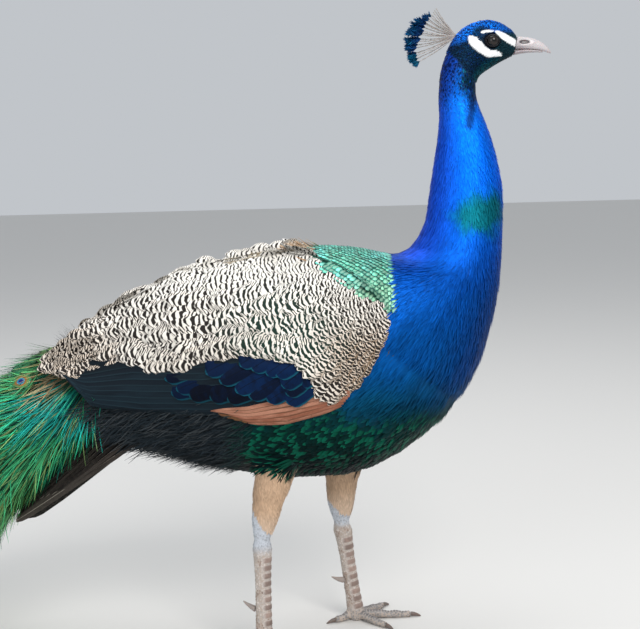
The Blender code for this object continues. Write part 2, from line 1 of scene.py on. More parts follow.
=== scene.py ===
"""The looks of a life-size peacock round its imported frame: skin, feathers, bill, eyes, crest, legs and train.

The bird faces +X, its left side is +Y and it stands on z = 0. Lengths are metres. The shapes are given from
the stance point, the spot on the floor below the root of the neck's rear, and moved to the frame's place when
they are built. Feathers are meshes that Geometry Nodes plant on the skin along the lie of the plumage.
"""

from __future__ import annotations

import json
import logging
import math
from collections.abc import Callable, Sequence
from dataclasses import dataclass, field
from enum import Enum

import bmesh
import bpy
import numpy as np
from mathutils import Matrix, Vector
from mathutils.bvhtree import BVHTree

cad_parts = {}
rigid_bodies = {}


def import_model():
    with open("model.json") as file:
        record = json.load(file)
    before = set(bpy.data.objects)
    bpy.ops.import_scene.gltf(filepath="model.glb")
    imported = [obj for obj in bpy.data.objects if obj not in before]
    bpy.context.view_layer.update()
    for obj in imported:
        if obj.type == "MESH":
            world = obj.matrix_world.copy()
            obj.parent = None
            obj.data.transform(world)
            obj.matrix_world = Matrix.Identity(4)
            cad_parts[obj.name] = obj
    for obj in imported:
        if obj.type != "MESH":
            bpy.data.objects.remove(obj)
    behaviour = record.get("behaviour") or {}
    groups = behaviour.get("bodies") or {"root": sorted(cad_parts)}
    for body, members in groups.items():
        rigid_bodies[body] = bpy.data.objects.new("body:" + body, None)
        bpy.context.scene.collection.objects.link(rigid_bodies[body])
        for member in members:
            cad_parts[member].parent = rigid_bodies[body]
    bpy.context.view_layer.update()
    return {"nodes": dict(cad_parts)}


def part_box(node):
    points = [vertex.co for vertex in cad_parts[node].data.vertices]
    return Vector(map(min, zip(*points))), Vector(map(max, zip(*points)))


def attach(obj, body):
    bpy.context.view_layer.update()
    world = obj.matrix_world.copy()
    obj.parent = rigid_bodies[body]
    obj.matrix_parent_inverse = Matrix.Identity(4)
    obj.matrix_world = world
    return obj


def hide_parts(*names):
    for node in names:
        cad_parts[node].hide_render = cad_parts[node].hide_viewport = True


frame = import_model()

Array = np.ndarray
Colour = tuple[float, float, float]
Socket = bpy.types.NodeSocket

STANCE = np.array([0.702, 0.0, 0.0])  # the stance point in the frame
HALF_WIDTH = 0.1530  # the furthest that a feather may reach from the middle plane
SOFT_EDGE = 0.008  # how far inside that width feathers begin to be drawn in
FLOOR_GAP = 0.0004  # the least height of a piece over the floor
BODY = "root"
BAKE_MAP = "OFBake"
TUFT_PATCH = 0.003  # size of a tuft on the bake map
PLACE_BLOCK = 4000  # points placed at a time, to save memory
FULL_TURN = 6.2832  # in radians
MIX_INPUTS = (0, 6, 7)  # places of the share and the two colours among the inputs of a mix node
LOG = logging.getLogger("peacock")


class Side(Enum):
    """A side of the bird, as the sign of its Y."""

    LEFT = 1
    RIGHT = -1

    @property
    def word(self) -> str:
        """The side's name in node names."""
        return self.name.lower()

    def ray(self, x: float, z: float, out: float) -> tuple[Vector, Vector]:
        """The start and the direction of a ray that runs straight in from this side, from so far out."""
        return Vector((x + STANCE[0], self.value * out, z)), Vector((0, -self.value, 0))


SIDES = (Side.LEFT, Side.RIGHT)


def smoothstep(low: float, high: float, value: Array) -> Array:
    """A smooth rise from 0 at low to 1 at high."""
    part = np.clip((np.asarray(value, float) - low) / (high - low), 0, 1)
    return part * part * (3 - 2 * part)


def unit(vectors: Array) -> Array:
    """The vectors at length one."""
    return vectors / np.maximum(np.linalg.norm(vectors, axis=-1, keepdims=True), 1e-12)


def blend(first: Array, second: Array, share: Array) -> Array:
    """A mix of two colour arrays, with one share for each row."""
    share = np.asarray(share, float)
    return first + (np.asarray(second) - first) * (share[:, None] if share.ndim else share)


def between(ends: tuple[float, float], share: Array | float) -> Array | float:
    """Numbers between two ends, by a share of the way."""
    return ends[0] + (ends[1] - ends[0]) * share


def smooth_curve(rows: Array, places: Array) -> Array:
    """Points on a smooth curve through rows of numbers.

    Args:
        rows: The rows the curve goes through.
        places: Where to read the curve, counted in rows.

    Returns:
        One row of numbers for each place.
    """
    rows = np.asarray(rows, float)
    padded = np.vstack([2 * rows[0] - rows[1], rows, 2 * rows[-1] - rows[-2]])
    places = np.clip(np.atleast_1d(places), 0, len(rows) - 1)
    first = np.minimum(places.astype(int), len(rows) - 2)
    part = (places - first)[:, None]
    a, b, c, d = (padded[first + i] for i in range(4))
    return 0.5 * (2 * b + (c - a) * part + (2 * a - 5 * b + 4 * c - d) * part**2 + (3 * b - a - 3 * c + d) * part**3)


def cloudy(points: Array, size: float, seed: int = 0) -> Array:
    """Smooth random numbers from 0 to 1 that change over about the given size.

    Args:
        points: One row of three coordinates for each number wanted.
        size: The width of a patch, in metres.
        seed: Picks one of many such fields.

    Returns:
        One number for each point.
    """
    places = np.asarray(points, float) / size + 1000.0
    base = np.floor(places).astype(np.int64)
    part = places - base
    part = part * part * (3 - 2 * part)
    total = np.zeros(len(places))
    for corner in range(8):
        step = np.array([corner & 1, corner >> 1 & 1, corner >> 2 & 1])
        cell = base + step
        mixed = cell[:, 0] * 73856093 ^ cell[:, 1] * 19349663 ^ cell[:, 2] * 83492791 ^ (seed + 7) * 2654435761
        mixed = (mixed ^ (mixed >> 13)) * 1274126177 & 0xFFFFFFFF
        mixed = (mixed ^ (mixed >> 15)) & 0xFFFF
        total += mixed / 65535.0 * np.where(step == 1, part, 1 - part).prod(axis=1)
    return total


# ---------------------------------------------------------------------------------------------- meshes


def new_mesh(name: str, points: Array, faces: Sequence[Array]) -> bpy.types.Mesh:
    """A smooth-shaded mesh.

    Args:
        name: The mesh's name.
        points: One row of coordinates for each vertex.
        faces: Arrays of corner numbers, one row for each face.

    Returns:
        The mesh.
    """
    mesh = bpy.data.meshes.new(name)
    groups = [np.asarray(group, np.int32) for group in faces if len(group)]
    corners = np.concatenate([group.ravel() for group in groups])
    sizes = np.concatenate([np.full(len(group), group.shape[1], np.int32) for group in groups])
    mesh.vertices.add(len(points))
    mesh.vertices.foreach_set("co", np.asarray(points, np.float32).ravel())
    mesh.loops.add(len(corners))
    mesh.loops.foreach_set("vertex_index", corners)
    mesh.polygons.add(len(sizes))
    mesh.polygons.foreach_set("loop_start", np.concatenate([[0], np.cumsum(sizes)[:-1]]).astype(np.int32))
    mesh.update(calc_edges=True)
    mesh.validate()
    shade_smooth(mesh)
    return mesh


def shade_smooth(mesh: bpy.types.Mesh) -> None:
    """Makes a mesh smooth-shaded."""
    mesh.polygons.foreach_set("use_smooth", np.ones(len(mesh.polygons), bool))


def move_to(mesh: bpy.types.Mesh, points: Array) -> None:
    """Moves a mesh's vertices to these points."""
    mesh.vertices.foreach_set("co", points.astype(np.float32).ravel())
    mesh.update()


def put_map(mesh: bpy.types.Mesh, name: str, places: Array) -> None:
    """Adds a UV map, with a pair of coordinates for each face corner."""
    mesh.uv_layers.new(name=name).data.foreach_set("uv", places.astype(np.float32).ravel())


def search_tree(points: Array, triangles: Array) -> BVHTree:
    """A tree that finds the nearest place on a surface, or where a ray meets it."""
    return BVHTree.FromPolygons(points.tolist(), triangles.tolist())


def merge_close(mesh: bpy.types.Mesh, distance: float) -> None:
    """Merges vertices of a mesh that lie closer together than the distance.

    Args:
        mesh: The mesh, which is changed.
        distance: The distance, in metres.
    """
    shape = bmesh.new()
    shape.from_mesh(mesh)
    bmesh.ops.remove_doubles(shape, verts=shape.verts, dist=distance)
    shape.to_mesh(mesh)
    shape.free()


def put(mesh: bpy.types.Mesh, name: str, values: Array) -> None:
    """Stores one number, pair, vector or whole number for each vertex as a named attribute.

    Args:
        mesh: The mesh.
        name: The attribute's name.
        values: What is stored, one row for each vertex.
    """
    values = np.asarray(values)
    if values.ndim == 1:
        kind, key = ("INT", "value") if values.dtype.kind == "i" else ("FLOAT", "value")
    else:
        kind, key = ("FLOAT2", "vector") if values.shape[1] == 2 else ("FLOAT_VECTOR", "vector")
    layer = mesh.attributes.new(name, kind, "POINT")
    layer.data.foreach_set(key, values.astype(np.int32 if kind == "INT" else np.float32).ravel())


def read(items: bpy.types.bpy_prop_collection, key: str, width: int = 1, kind: type = np.float32) -> Array:
    """A number for each item, or one row of numbers of the given width.

    Args:
        items: The items.
        key: The property that is read.
        width: How many numbers it has.
        kind: The type of the numbers.

    Returns:
        The numbers.
    """
    values = np.empty(len(items) * width, kind)
    items.foreach_get(key, values)
    return values if width == 1 else values.reshape(-1, width)


def take(mesh: bpy.types.Mesh, name: str, width: int) -> Array:
    """The numbers of a named vertex attribute, one row of the given width for each vertex."""
    return read(mesh.attributes[name].data, "value" if width == 1 else "vector", width)


def paint(mesh: bpy.types.Mesh, colours: Array) -> None:
    """Stores one linear colour for each vertex under the name tint.

    Args:
        mesh: The mesh.
        colours: One row of red, green and blue for each vertex.
    """
    rows = np.ones((len(colours), 4), np.float32)
    rows[:, :3] = np.clip(colours, 0, 1)
    layer = mesh.color_attributes.new("tint", "FLOAT_COLOR", "POINT")
    layer.data.foreach_set("color", rows.ravel())


def points_of(mesh: bpy.types.Mesh) -> Array:
    """The coordinates of a mesh's vertices."""
    return read(mesh.vertices, "co", 3).astype(float)


def normals_of(mesh: bpy.types.Mesh) -> Array:
    """The unit normals of a mesh's vertices."""
    return read(mesh.vertex_normals, "vector", 3).astype(float)


def triangles_of(mesh: bpy.types.Mesh) -> Array:
    """The corner numbers of a mesh's triangles."""
    mesh.calc_loop_triangles()
    return read(mesh.loop_triangles, "vertices", 3, np.int32)


def corner_vertices(mesh: bpy.types.Mesh) -> Array:
    """The vertex number of each face corner."""
    return read(mesh.loops, "vertex_index", 1, np.int32)


def add_object(name: str, mesh: bpy.types.Mesh) -> bpy.types.Object:
    """An object for the mesh, in the scene.

    Args:
        name: The object's name.
        mesh: Its mesh.

    Returns:
        The object.
    """
    made = bpy.data.objects.new(name, mesh)
    bpy.context.scene.collection.objects.link(made)
    return made


def drop_object(thing: bpy.types.Object) -> None:
    """Removes an object and its mesh.

    Args:
        thing: The object.
    """
    mesh = thing.data
    bpy.data.objects.remove(thing, do_unlink=True)
    if mesh is not None and mesh.users == 0:
        bpy.data.meshes.remove(mesh)


def evaluated(thing: bpy.types.Object) -> bpy.types.Mesh:
    """A plain mesh of the object with its modifiers applied."""
    graph = bpy.context.evaluated_depsgraph_get()
    return bpy.data.meshes.new_from_object(thing.evaluated_get(graph), preserve_all_data_layers=True, depsgraph=graph)


def node_mesh(*names: str) -> bpy.types.Mesh:
    """A merged copy of some of the frame's nodes, as one mesh.

    Args:
        names: The nodes.

    Returns:
        The mesh, with the double vertices merged.
    """
    shape = bmesh.new()
    for name in names:
        shape.from_mesh(frame["nodes"][name].data)
    bmesh.ops.remove_doubles(shape, verts=shape.verts, dist=1e-5)
    mesh = bpy.data.meshes.new(names[0] + "_copy")
    shape.to_mesh(mesh)
    shape.free()
    return mesh


def wing_tree(*sides: Side) -> BVHTree:
    """A search tree of the nodes of the folded wings on these sides.

    Args:
        sides: The sides.

    Returns:
        The tree.
    """
    parts = ("coverts", "secondaries", "primaries")
    wings = node_mesh(*(f"wing_{part}_{side.word}" for side in sides for part in parts))
    tree = search_tree(points_of(wings), triangles_of(wings))
    bpy.data.meshes.remove(wings)
    return tree


def smooth_copy(names: Sequence[str], voxel: float, swell: float, rounds: int) -> bpy.types.Mesh:
    """Some of the frame's nodes as one even, smooth mesh.

    Args:
        names: The nodes.
        voxel: The size of the mesh's faces.
        swell: How far each node grows first, so that neighbours meet and smoothing takes nothing away.
        rounds: How many times the mesh is smoothed.

    Returns:
        The mesh.
    """
    joined = bmesh.new()
    for name in names:
        shape = bmesh.new()
        shape.from_mesh(node_mesh(name))
        shape.normal_update()
        for vertex in shape.verts:
            vertex.co += vertex.normal * swell
        mesh = bpy.data.meshes.new("swollen")
        shape.to_mesh(mesh)
        shape.free()
        joined.from_mesh(mesh)
        bpy.data.meshes.remove(mesh)
    mesh = bpy.data.meshes.new("joined")
    joined.to_mesh(mesh)
    joined.free()
    holder = add_object("holder", mesh)
    remesh = holder.modifiers.new("remesh", "REMESH")
    remesh.mode, remesh.voxel_size = "VOXEL", voxel
    if rounds:
        smooth = holder.modifiers.new("smooth", "SMOOTH")
        smooth.factor, smooth.iterations = 0.5, rounds
    result = evaluated(holder)
    holder.modifiers.clear()
    drop_object(holder)
    shade_smooth(result)
    return result


def keep_within(piece: bpy.types.Object) -> None:
    """Draws in softly what reaches beyond the model's width, and lifts what lies below the floor.

    Args:
        piece: The piece, whose mesh is changed.
    """
    points = points_of(piece.data)
    over = np.abs(points[:, 1]) - HALF_WIDTH + SOFT_EDGE
    drawn_in = HALF_WIDTH - SOFT_EDGE + SOFT_EDGE * np.tanh(over / (2 * SOFT_EDGE))
    points[:, 1] = np.where(over > 0, np.sign(points[:, 1]) * drawn_in, points[:, 1])
    points[:, 2] = np.maximum(points[:, 2], FLOOR_GAP)
    move_to(piece.data, points)


def settle(piece: bpy.types.Object, slot: str, *nodes: str) -> bpy.types.Object:
    """Ties a finished piece to the frame.

    Args:
        piece: The finished piece.
        slot: The record's material slot; not used.
        nodes: The frame's nodes that it stands for.

    Returns:
        The piece.
    """
    keep_within(piece)
    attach(piece, BODY)
    if nodes:
        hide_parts(*nodes)
    LOG.info("%s: %d triangles", piece.name, len(triangles_of(piece.data)))
    return piece


def dress(piece: bpy.types.Object, *materials: bpy.types.Material) -> None:
    """Gives a piece its materials, in order.

    Args:
        piece: The piece.
        materials: The materials.
    """
    piece.data.materials.clear()
    for material in materials:
        piece.data.materials.append(material)


def unwrap_roots(points: Array, normals: Array, margin: float) -> Array:
    """Places on a flat unwrap of a surface, in six charts by the way the surface faces.

    Args:
        points: Places on the surface.
        normals: The surface's unit normals there.
        margin: Room left round each chart and along the square's border.

    Returns:
        One pair of map coordinates in the unit square for each place.
    """
    facing = np.abs(normals).argmax(axis=1)
    sign = np.take_along_axis(normals, facing[:, None], 1)[:, 0] > 0
    chart = facing * 2 + sign
    flat = np.stack([np.where(facing == 0, points[:, 1], points[:, 0]),
                     np.where(facing == 2, points[:, 1], points[:, 2])], 1)
    sizes = {}
    for number in np.unique(chart):
        own = chart == number
        flat[own] -= flat[own].min(axis=0)
        sizes[int(number)] = flat[own].max(axis=0) + 1e-6
    order = sorted(sizes, key=lambda number: -sizes[number][1])
    area = sum(size.prod() for size in sizes.values())
    scale = 1 / math.sqrt(area)
    while True:
        corners, left, low, shelf, fits = {}, 0.0, 0.0, 0.0, True
        for number in order:
            width, height = sizes[number] * scale + 2 * margin
            if left + width > 1:
                left, low, shelf = 0.0, low + shelf, 0.0
            if width > 1 or low + height > 1:
                fits = False
                break
            corners[number] = np.array([left + margin, low + margin])
            left, shelf = left + width, max(shelf, height)
        if fits:
            break
        scale *= 0.94
    for number, corner in corners.items():
        flat[chart == number] = flat[chart == number] * scale + corner
    return flat


def grid_faces(columns: int, rows: int, wrap: bool = False) -> Array:
    """Corner numbers of the quads of a grid whose vertices run along its columns first.

    Args:
        columns: Vertices across.
        rows: Vertices along.
        wrap: Whether the last column joins the first.

    Returns:
        Four corner numbers for each quad.
    """
    j, i = np.meshgrid(np.arange(rows - 1), np.arange(columns if wrap else columns - 1), indexing="ij")
    i, j = i.ravel(), j.ravel()
    after = (i + 1) % columns
    return np.stack([j * columns + i, j * columns + after, (j + 1) * columns + after, (j + 1) * columns + i], 1)


def ribbon(line: Array, across: Array, half: Array, columns: int) -> Array:
    """Rows of points across a line, to half a width on either side of it."""
    return line[:, None] + across[:, None] * (np.linspace(-1, 1, columns)[None, :, None] * half[:, None, None])


# ------------------------------------------------------------------------------------ lines of the body


@dataclass(frozen=True)
class Lines:
    """A long rounded shape as slices, each with a back point, a front point and a half width."""

    rows: tuple[tuple[float, ...], ...]

    def at(self, stations: Array) -> Array:
        """Back x and z, front x and z and half width at these station numbers."""
        return smooth_curve(np.array(self.rows), stations)

    def place(self, points: Array) -> tuple[Array, Array]:
        """Where points lie on the shape.

        Args:
            points: Coordinates from the stance point.

        Returns:
            The station number of each point, and its share of the way from the front point to the back point.
        """
        stations = np.linspace(0, len(self.rows) - 1, 40 * len(self.rows))
        slices = self.at(stations)
        back, front = slices[:, 0:2], slices[:, 2:4]
        across = back - front
        lengths = (across**2).sum(axis=1)
        found, share = np.empty(len(points)), np.empty(len(points))
        for start in range(0, len(points), PLACE_BLOCK):
            block = slice(start, start + PLACE_BLOCK)
            flat = points[block][:, [0, 2]]
            part = ((flat[:, None] - front) * across).sum(axis=2) / lengths
            part = np.clip(part, -0.1, 1.1)
            gap = ((front + part[..., None] * across - flat[:, None]) ** 2).sum(axis=2)
            best = gap.argmin(axis=1)
            found[block] = stations[best]
            share[block] = part[np.arange(len(flat)), best]
        return found, share

    def lie(self, stations: Array, share: Array) -> Array:
        """Unit vectors along the shape, towards the higher station numbers.

        Args:
            stations: Station numbers.
            share: Shares of the way from the front point to the back point.

        Returns:
            The vectors.
        """
        step = self.at(stations + 0.05) - self.at(stations - 0.05)
        share = np.clip(share, 0, 1)[:, None]
        flat = share * step[:, 0:2] + (1 - share) * step[:, 2:4]
        return unit(np.stack([flat[:, 0], np.zeros(len(flat)), flat[:, 1]], 1))

    def point(self, stations: Array, angles: Array) -> Array:
        """Points on the surface, at angles counted from the back towards the left side.

        Args:
            stations: Station numbers.
            angles: The angles, in radians.

        Returns:
            The points, from the stance point.
        """
        slices = self.at(stations)
        half = (slices[:, 0:2] - slices[:, 2:4]) / 2
        flat = (slices[:, 0:2] + slices[:, 2:4]) / 2 + half * np.cos(angles)[:, None]
        return np.stack([flat[:, 0], slices[:, 4] * np.sin(angles), flat[:, 1]], 1)


BODY_LINES = Lines((
    (0.2715, 0.8275, 0.2662, 0.8030, 0.0082), (0.2340, 0.8502, 0.2430, 0.7905, 0.0192),
    (0.1970, 0.8385, 0.2255, 0.7800, 0.0205), (0.1740, 0.8020, 0.2165, 0.7650, 0.0212),
    (0.1655, 0.7520, 0.2195, 0.7400, 0.0242), (0.1630, 0.6900, 0.2385, 0.6880, 0.0300),
    (0.1510, 0.6150, 0.2515, 0.6180, 0.0375), (0.1240, 0.5490, 0.2495, 0.5450, 0.0505),
    (0.0600, 0.5495, 0.2430, 0.4780, 0.0745), (-0.0120, 0.5555, 0.2200, 0.3980, 0.0945),
    (-0.0900, 0.5410, 0.1600, 0.3060, 0.1018), (-0.1700, 0.5200, 0.0550, 0.2430, 0.0995),
    (-0.2450, 0.4860, -0.0600, 0.2370, 0.0880), (-0.3380, 0.4340, -0.2400, 0.2850, 0.0640),
))
TRAIN_LINES = Lines((
    (-0.3380, 0.4340, -0.2830, 0.3505, 0.0500), (-0.3740, 0.4265, -0.3255, 0.3015, 0.0620),
    (-0.4120, 0.4065, -0.3660, 0.2590, 0.0710), (-0.4520, 0.3820, -0.4080, 0.2170, 0.0780),
    (-0.4950, 0.3530, -0.4430, 0.1850, 0.0840), (-0.5450, 0.3150, -0.4780, 0.1300, 0.0900),
    (-0.6000, 0.2720, -0.5200, 0.0720, 0.0970), (-0.6600, 0.2260, -0.5800, 0.0150, 0.1040),
    (-0.7300, 0.1800, -0.6650, -0.0120, 0.1120), (-0.8200, 0.1370, -0.7800, -0.0120, 0.1200),
    (-0.9300, 0.1100, -0.9100, -0.0120, 0.1280), (-1.0600, 0.0920, -1.0500, -0.0120, 0.1340),
    (-1.2000, 0.0790, -1.2000, -0.0120, 0.1380), (-1.3600, 0.0670, -1.3600, -0.0120, 0.1360),
    (-1.5000, 0.0550, -1.5000, -0.0120, 0.1260), (-1.6200, 0.0410, -1.6200, -0.0100, 0.1040),
    (-1.6900, 0.0270, -1.6900, -0.0080, 0.0720), (-1.7220, 0.0130, -1.7220, -0.0040, 0.0350),
))


def height_on(edge: Sequence[tuple[float, float]], x: Array) -> Array:
    """The z of an edge line at these x, where the line is given by points in rising order of x."""
    rows = np.array(edge)
    return np.interp(x, rows[:, 0], rows[:, 1])


# The lower edge of the barred coverts, from the tip of the wing forwards.
COVERTS_HEM = (
    (-0.3640, 0.4030), (-0.3520, 0.3980), (-0.3390, 0.3960), (-0.3170, 0.3950), (-0.2870, 0.4020), (-0.2510, 0.4180),
    (-0.2310, 0.4065), (-0.2090, 0.4015), (-0.1920, 0.4010), (-0.1740, 0.4070), (-0.1570, 0.4135), (-0.1310, 0.4205),
    (-0.1050, 0.4250), (-0.0270, 0.4250), (-0.0100, 0.4160), (0.0040, 0.3920),
    (0.0100, 0.3720), (0.0400, 0.3600), (0.0950, 0.3600),
)


# --------------------------------------------------------------------------------------- geometry trees


class TreeKind(Enum):
    """The two jobs that the Geometry Nodes trees do."""

    SOW = "sow_roots"
    PLANT = "plant_plumes"


class GeometryTree:
    """A Geometry Nodes tree with named inputs, built node by node."""

    def __init__(self, kind: TreeKind) -> None:
        """Makes the tree.

        Args:
            kind: The job that the tree does.
        """
        self.tree = bpy.data.node_groups.new(kind.value, "GeometryNodeTree")
        self.tree.interface.new_socket("Geometry", in_out="INPUT", socket_type="NodeSocketGeometry")
        self.tree.interface.new_socket("Geometry", in_out="OUTPUT", socket_type="NodeSocketGeometry")
        self.inputs: dict[str, str] = {}
        if kind is TreeKind.SOW:
            self._sow()
        else:
            self._plant()

    def _input(self, name: str, kind: str) -> None:
        """Adds a named input."""
        socket = self.tree.interface.new_socket(name, in_out="INPUT", socket_type=kind)
        self.inputs[name] = socket.identifier

    def _node(self, kind: str, **settings: object) -> bpy.types.Node:
        """Adds a node with its settings.

        Args:
            kind: The node's type.
            settings: Its properties.

        Returns:
            The node.
        """
        made = self.tree.nodes.new(kind)
        for key, value in settings.items():
            setattr(made, key, value)
        return made

    def _named(self, name: str, kind: str) -> Socket:
        """The output of a node that reads a named attribute.

        Args:
            name: The attribute's name.
            kind: Its data type.

        Returns:
            The node's output.
        """
        made = self._node("GeometryNodeInputNamedAttribute", data_type=kind)
        made.inputs["Name"].default_value = name
        return made.outputs["Attribute"]

    def _sow(self) -> None:
        """Scatters roots over a surface, no nearer to each other than the spacing."""
        self._input("Spacing", "NodeSocketFloat")
        self._input("Density", "NodeSocketFloat")
        self._input("Seed", "NodeSocketInt")
        link = self.tree.links.new
        start, end = self._node("NodeGroupInput"), self._node("NodeGroupOutput")
        scatter = self._node("GeometryNodeDistributePointsOnFaces", distribute_method="POISSON")
        corners = self._node("GeometryNodePointsToVertices")
        link(start.outputs["Geometry"], scatter.inputs["Mesh"])
        link(start.outputs["Spacing"], scatter.inputs["Distance Min"])
        link(start.outputs["Density"], scatter.inputs["Density Max"])
        link(self._named("share", "FLOAT"), scatter.inputs["Density Factor"])
        link(start.outputs["Seed"], scatter.inputs["Seed"])
        link(scatter.outputs["Points"], corners.inputs["Points"])
        link(corners.outputs["Mesh"], end.inputs["Geometry"])

    def _plant(self) -> None:
        """Puts a plume on each root, turned by its lie and rise and sized, and realizes them."""
        self._input("Plumes", "NodeSocketCollection")
        self._input("Finish", "NodeSocketMaterial")
        link = self.tree.links.new
        start, end = self._node("NodeGroupInput"), self._node("NodeGroupOutput")
        turn = self._node("FunctionNodeAxesToRotation", primary_axis="Z", secondary_axis="X")
        shapes = self._node("GeometryNodeCollectionInfo")
        shapes.inputs["Separate Children"].default_value = True
        shapes.inputs["Reset Children"].default_value = True
        copies = self._node("GeometryNodeInstanceOnPoints")
        copies.inputs["Pick Instance"].default_value = True
        realize = self._node("GeometryNodeRealizeInstances")
        finish = self._node("GeometryNodeSetMaterial")
        link(self._named("rise", "FLOAT_VECTOR"), turn.inputs["Primary Axis"])
        link(self._named("lie", "FLOAT_VECTOR"), turn.inputs["Secondary Axis"])
        link(start.outputs["Plumes"], shapes.inputs["Collection"])
        link(start.outputs["Geometry"], copies.inputs["Points"])
        link(shapes.outputs["Instances"], copies.inputs["Instance"])
        link(self._named("kind", "INT"), copies.inputs["Instance Index"])
        link(turn.outputs["Rotation"], copies.inputs["Rotation"])
        link(self._named("size", "FLOAT_VECTOR"), copies.inputs["Scale"])
        link(copies.outputs["Instances"], realize.inputs["Geometry"])
        link(realize.outputs["Geometry"], finish.inputs["Geometry"])
        link(start.outputs["Finish"], finish.inputs["Material"])
        link(finish.outputs["Geometry"], end.inputs["Geometry"])

    def run(self, mesh: bpy.types.Mesh, **values: object) -> bpy.types.Mesh:
        """Runs the tree on a mesh.

        Args:
            mesh: The mesh it starts from, which is used up.
            values: The tree's inputs by name.

        Returns:
            A plain mesh of the result.
        """
        holder = add_object("holder", mesh)
        modifier = holder.modifiers.new("nodes", "NODES")
        modifier.node_group = self.tree
        for name, value in values.items():
            modifier[self.inputs[name]] = value
        result = evaluated(holder)
        holder.modifiers.remove(modifier)
        drop_object(holder)
        return result


SOW = GeometryTree(TreeKind.SOW)
PLANT = GeometryTree(TreeKind.PLANT)


class Outline(Enum):
    """How a plume's width runs from its root to its tip, as shares of its greatest width."""

    STRAND = (0.75, 1.0, 0.85, 0.55, 0.12)
    LOCK = (0.45, 0.95, 1.0, 0.72, 0.20)
    SCALE = (0.40, 0.80, 1.0, 0.98, 0.80, 0.34)
    BROAD = (0.34, 0.72, 0.94, 1.0, 0.98, 0.88, 0.66, 0.24)
    DISC = (0.30, 0.78, 0.97, 1.0, 0.93, 0.70, 0.25)


@dataclass(frozen=True)
class Plume:
    """One feather, lock or strand as a small sheet, one long and one wide, from its root along +X."""

    outline: Outline
    columns: int = 2
    camber: float = 0.10  # how far the middle stands above the edges
    curl: float = 0.0  # how far the tip is off the root's plane
    sway: float = 0.0  # how far the tip is to one side

    def build(self, name: str) -> bpy.types.Object:
        """Makes the plume's object, with its map and its reach and edge attributes.

        Args:
            name: The object's name.

        Returns:
            The object, which is in no collection yet.
        """
        shares = np.array(self.outline.value)
        rows, columns = len(shares), self.columns + 1
        reach = np.repeat(np.linspace(0, 1, rows), columns)
        edge = np.tile(np.linspace(-1, 1, columns), rows)
        width = np.repeat(shares, columns)
        rounding = 0.0 if self.outline in (Outline.STRAND, Outline.LOCK) else 0.07
        along = reach - rounding * edge**2 * reach
        height = self.camber * (1 - edge**2) * width + self.curl * reach**2
        points = np.stack([along, edge * width / 2 + self.sway * reach**2, height], 1)
        # Rows run along the feather and columns across it, so this order of corners faces up.
        mesh = new_mesh(name, points, [grid_faces(columns, rows)[:, ::-1]])
        put(mesh, "reach", reach)
        put(mesh, "edge", edge)
        put_map(mesh, "vane", np.stack([reach, edge / 2 + 0.5], 1)[corner_vertices(mesh)])
        return bpy.data.objects.new(name, mesh)


class PlumeSet:
    """A few like plumes, which a coat picks from."""

    def __init__(self, name: str, *plumes: Plume) -> None:
        """Makes the plumes.

        Args:
            name: The set's name.
            plumes: The plumes in it.
        """
        self.count = len(plumes)
        self.collection = bpy.data.collections.new(name)
        bpy.context.scene.collection.children.link(self.collection)
        for number, plume in enumerate(plumes):
            self.collection.objects.link(plume.build(f"{name}_{number}"))

    def clear(self) -> None:
        """Takes the plumes out of the scene once the coats are planted."""
        for thing in list(self.collection.objects):
            drop_object(thing)
        bpy.data.collections.remove(self.collection)


@dataclass
class Roots:
    """The roots of one coat: places, normals, lies, sizes and colours, one row for each plume."""

    points: Array
    normals: Array
    lie: Array
    size: Array  # length, width and height of each plume
    tilt: Array  # how far each plume stands up, in radians
    roll: Array  # how far each plume is turned about its own length, in radians
    # in most coats the root colour is darker than the tip, as painted shade between the plumes
    root_tint: Array
    tip_tint: Array
    chance: Array
    kind: Array
    marks: dict[str, Array] = field(default_factory=dict)


def ground_for(mesh: bpy.types.Mesh, points: Array, normals: Array, chosen: Array,
               share: Array | None = None) -> bpy.types.Mesh:
    """The faces of a surface whose vertices are all chosen, ready for sowing.

    Args:
        mesh: The surface.
        points: Its vertices.
        normals: Their unit normals.
        chosen: Which vertices.
        share: How densely each vertex's surroundings are sown, from 0 to 1.

    Returns:
        A mesh with share and up attributes.
    """
    triangles = triangles_of(mesh)
    triangles = triangles[chosen[triangles].all(axis=1)]
    used, index = np.unique(triangles, return_inverse=True)
    ground = new_mesh("ground", points[used], [index.reshape(-1, 3)])
    put(ground, "up", normals[used])
    put(ground, "share", np.ones(len(used)) if share is None else share[used])
    return ground


def sow(surface: bpy.types.Mesh, spacing: float, seed: int, density: float = 1.5) -> tuple[Array, Array]:
    """Roots over a surface with share and up attributes.

    Args:
        surface: The surface, which is used up.
        spacing: The least distance between two roots, in metres.
        seed: Fixes the random places.
        density: How many roots are tried for each square of the spacing.

    Returns:
        The roots' places and their unit normals.
    """
    found = SOW.run(surface, Spacing=spacing, Density=density / spacing**2, Seed=seed)
    points, normals = points_of(found), unit(take(found, "up", 3).astype(float))
    bpy.data.meshes.remove(found)
    return points, normals


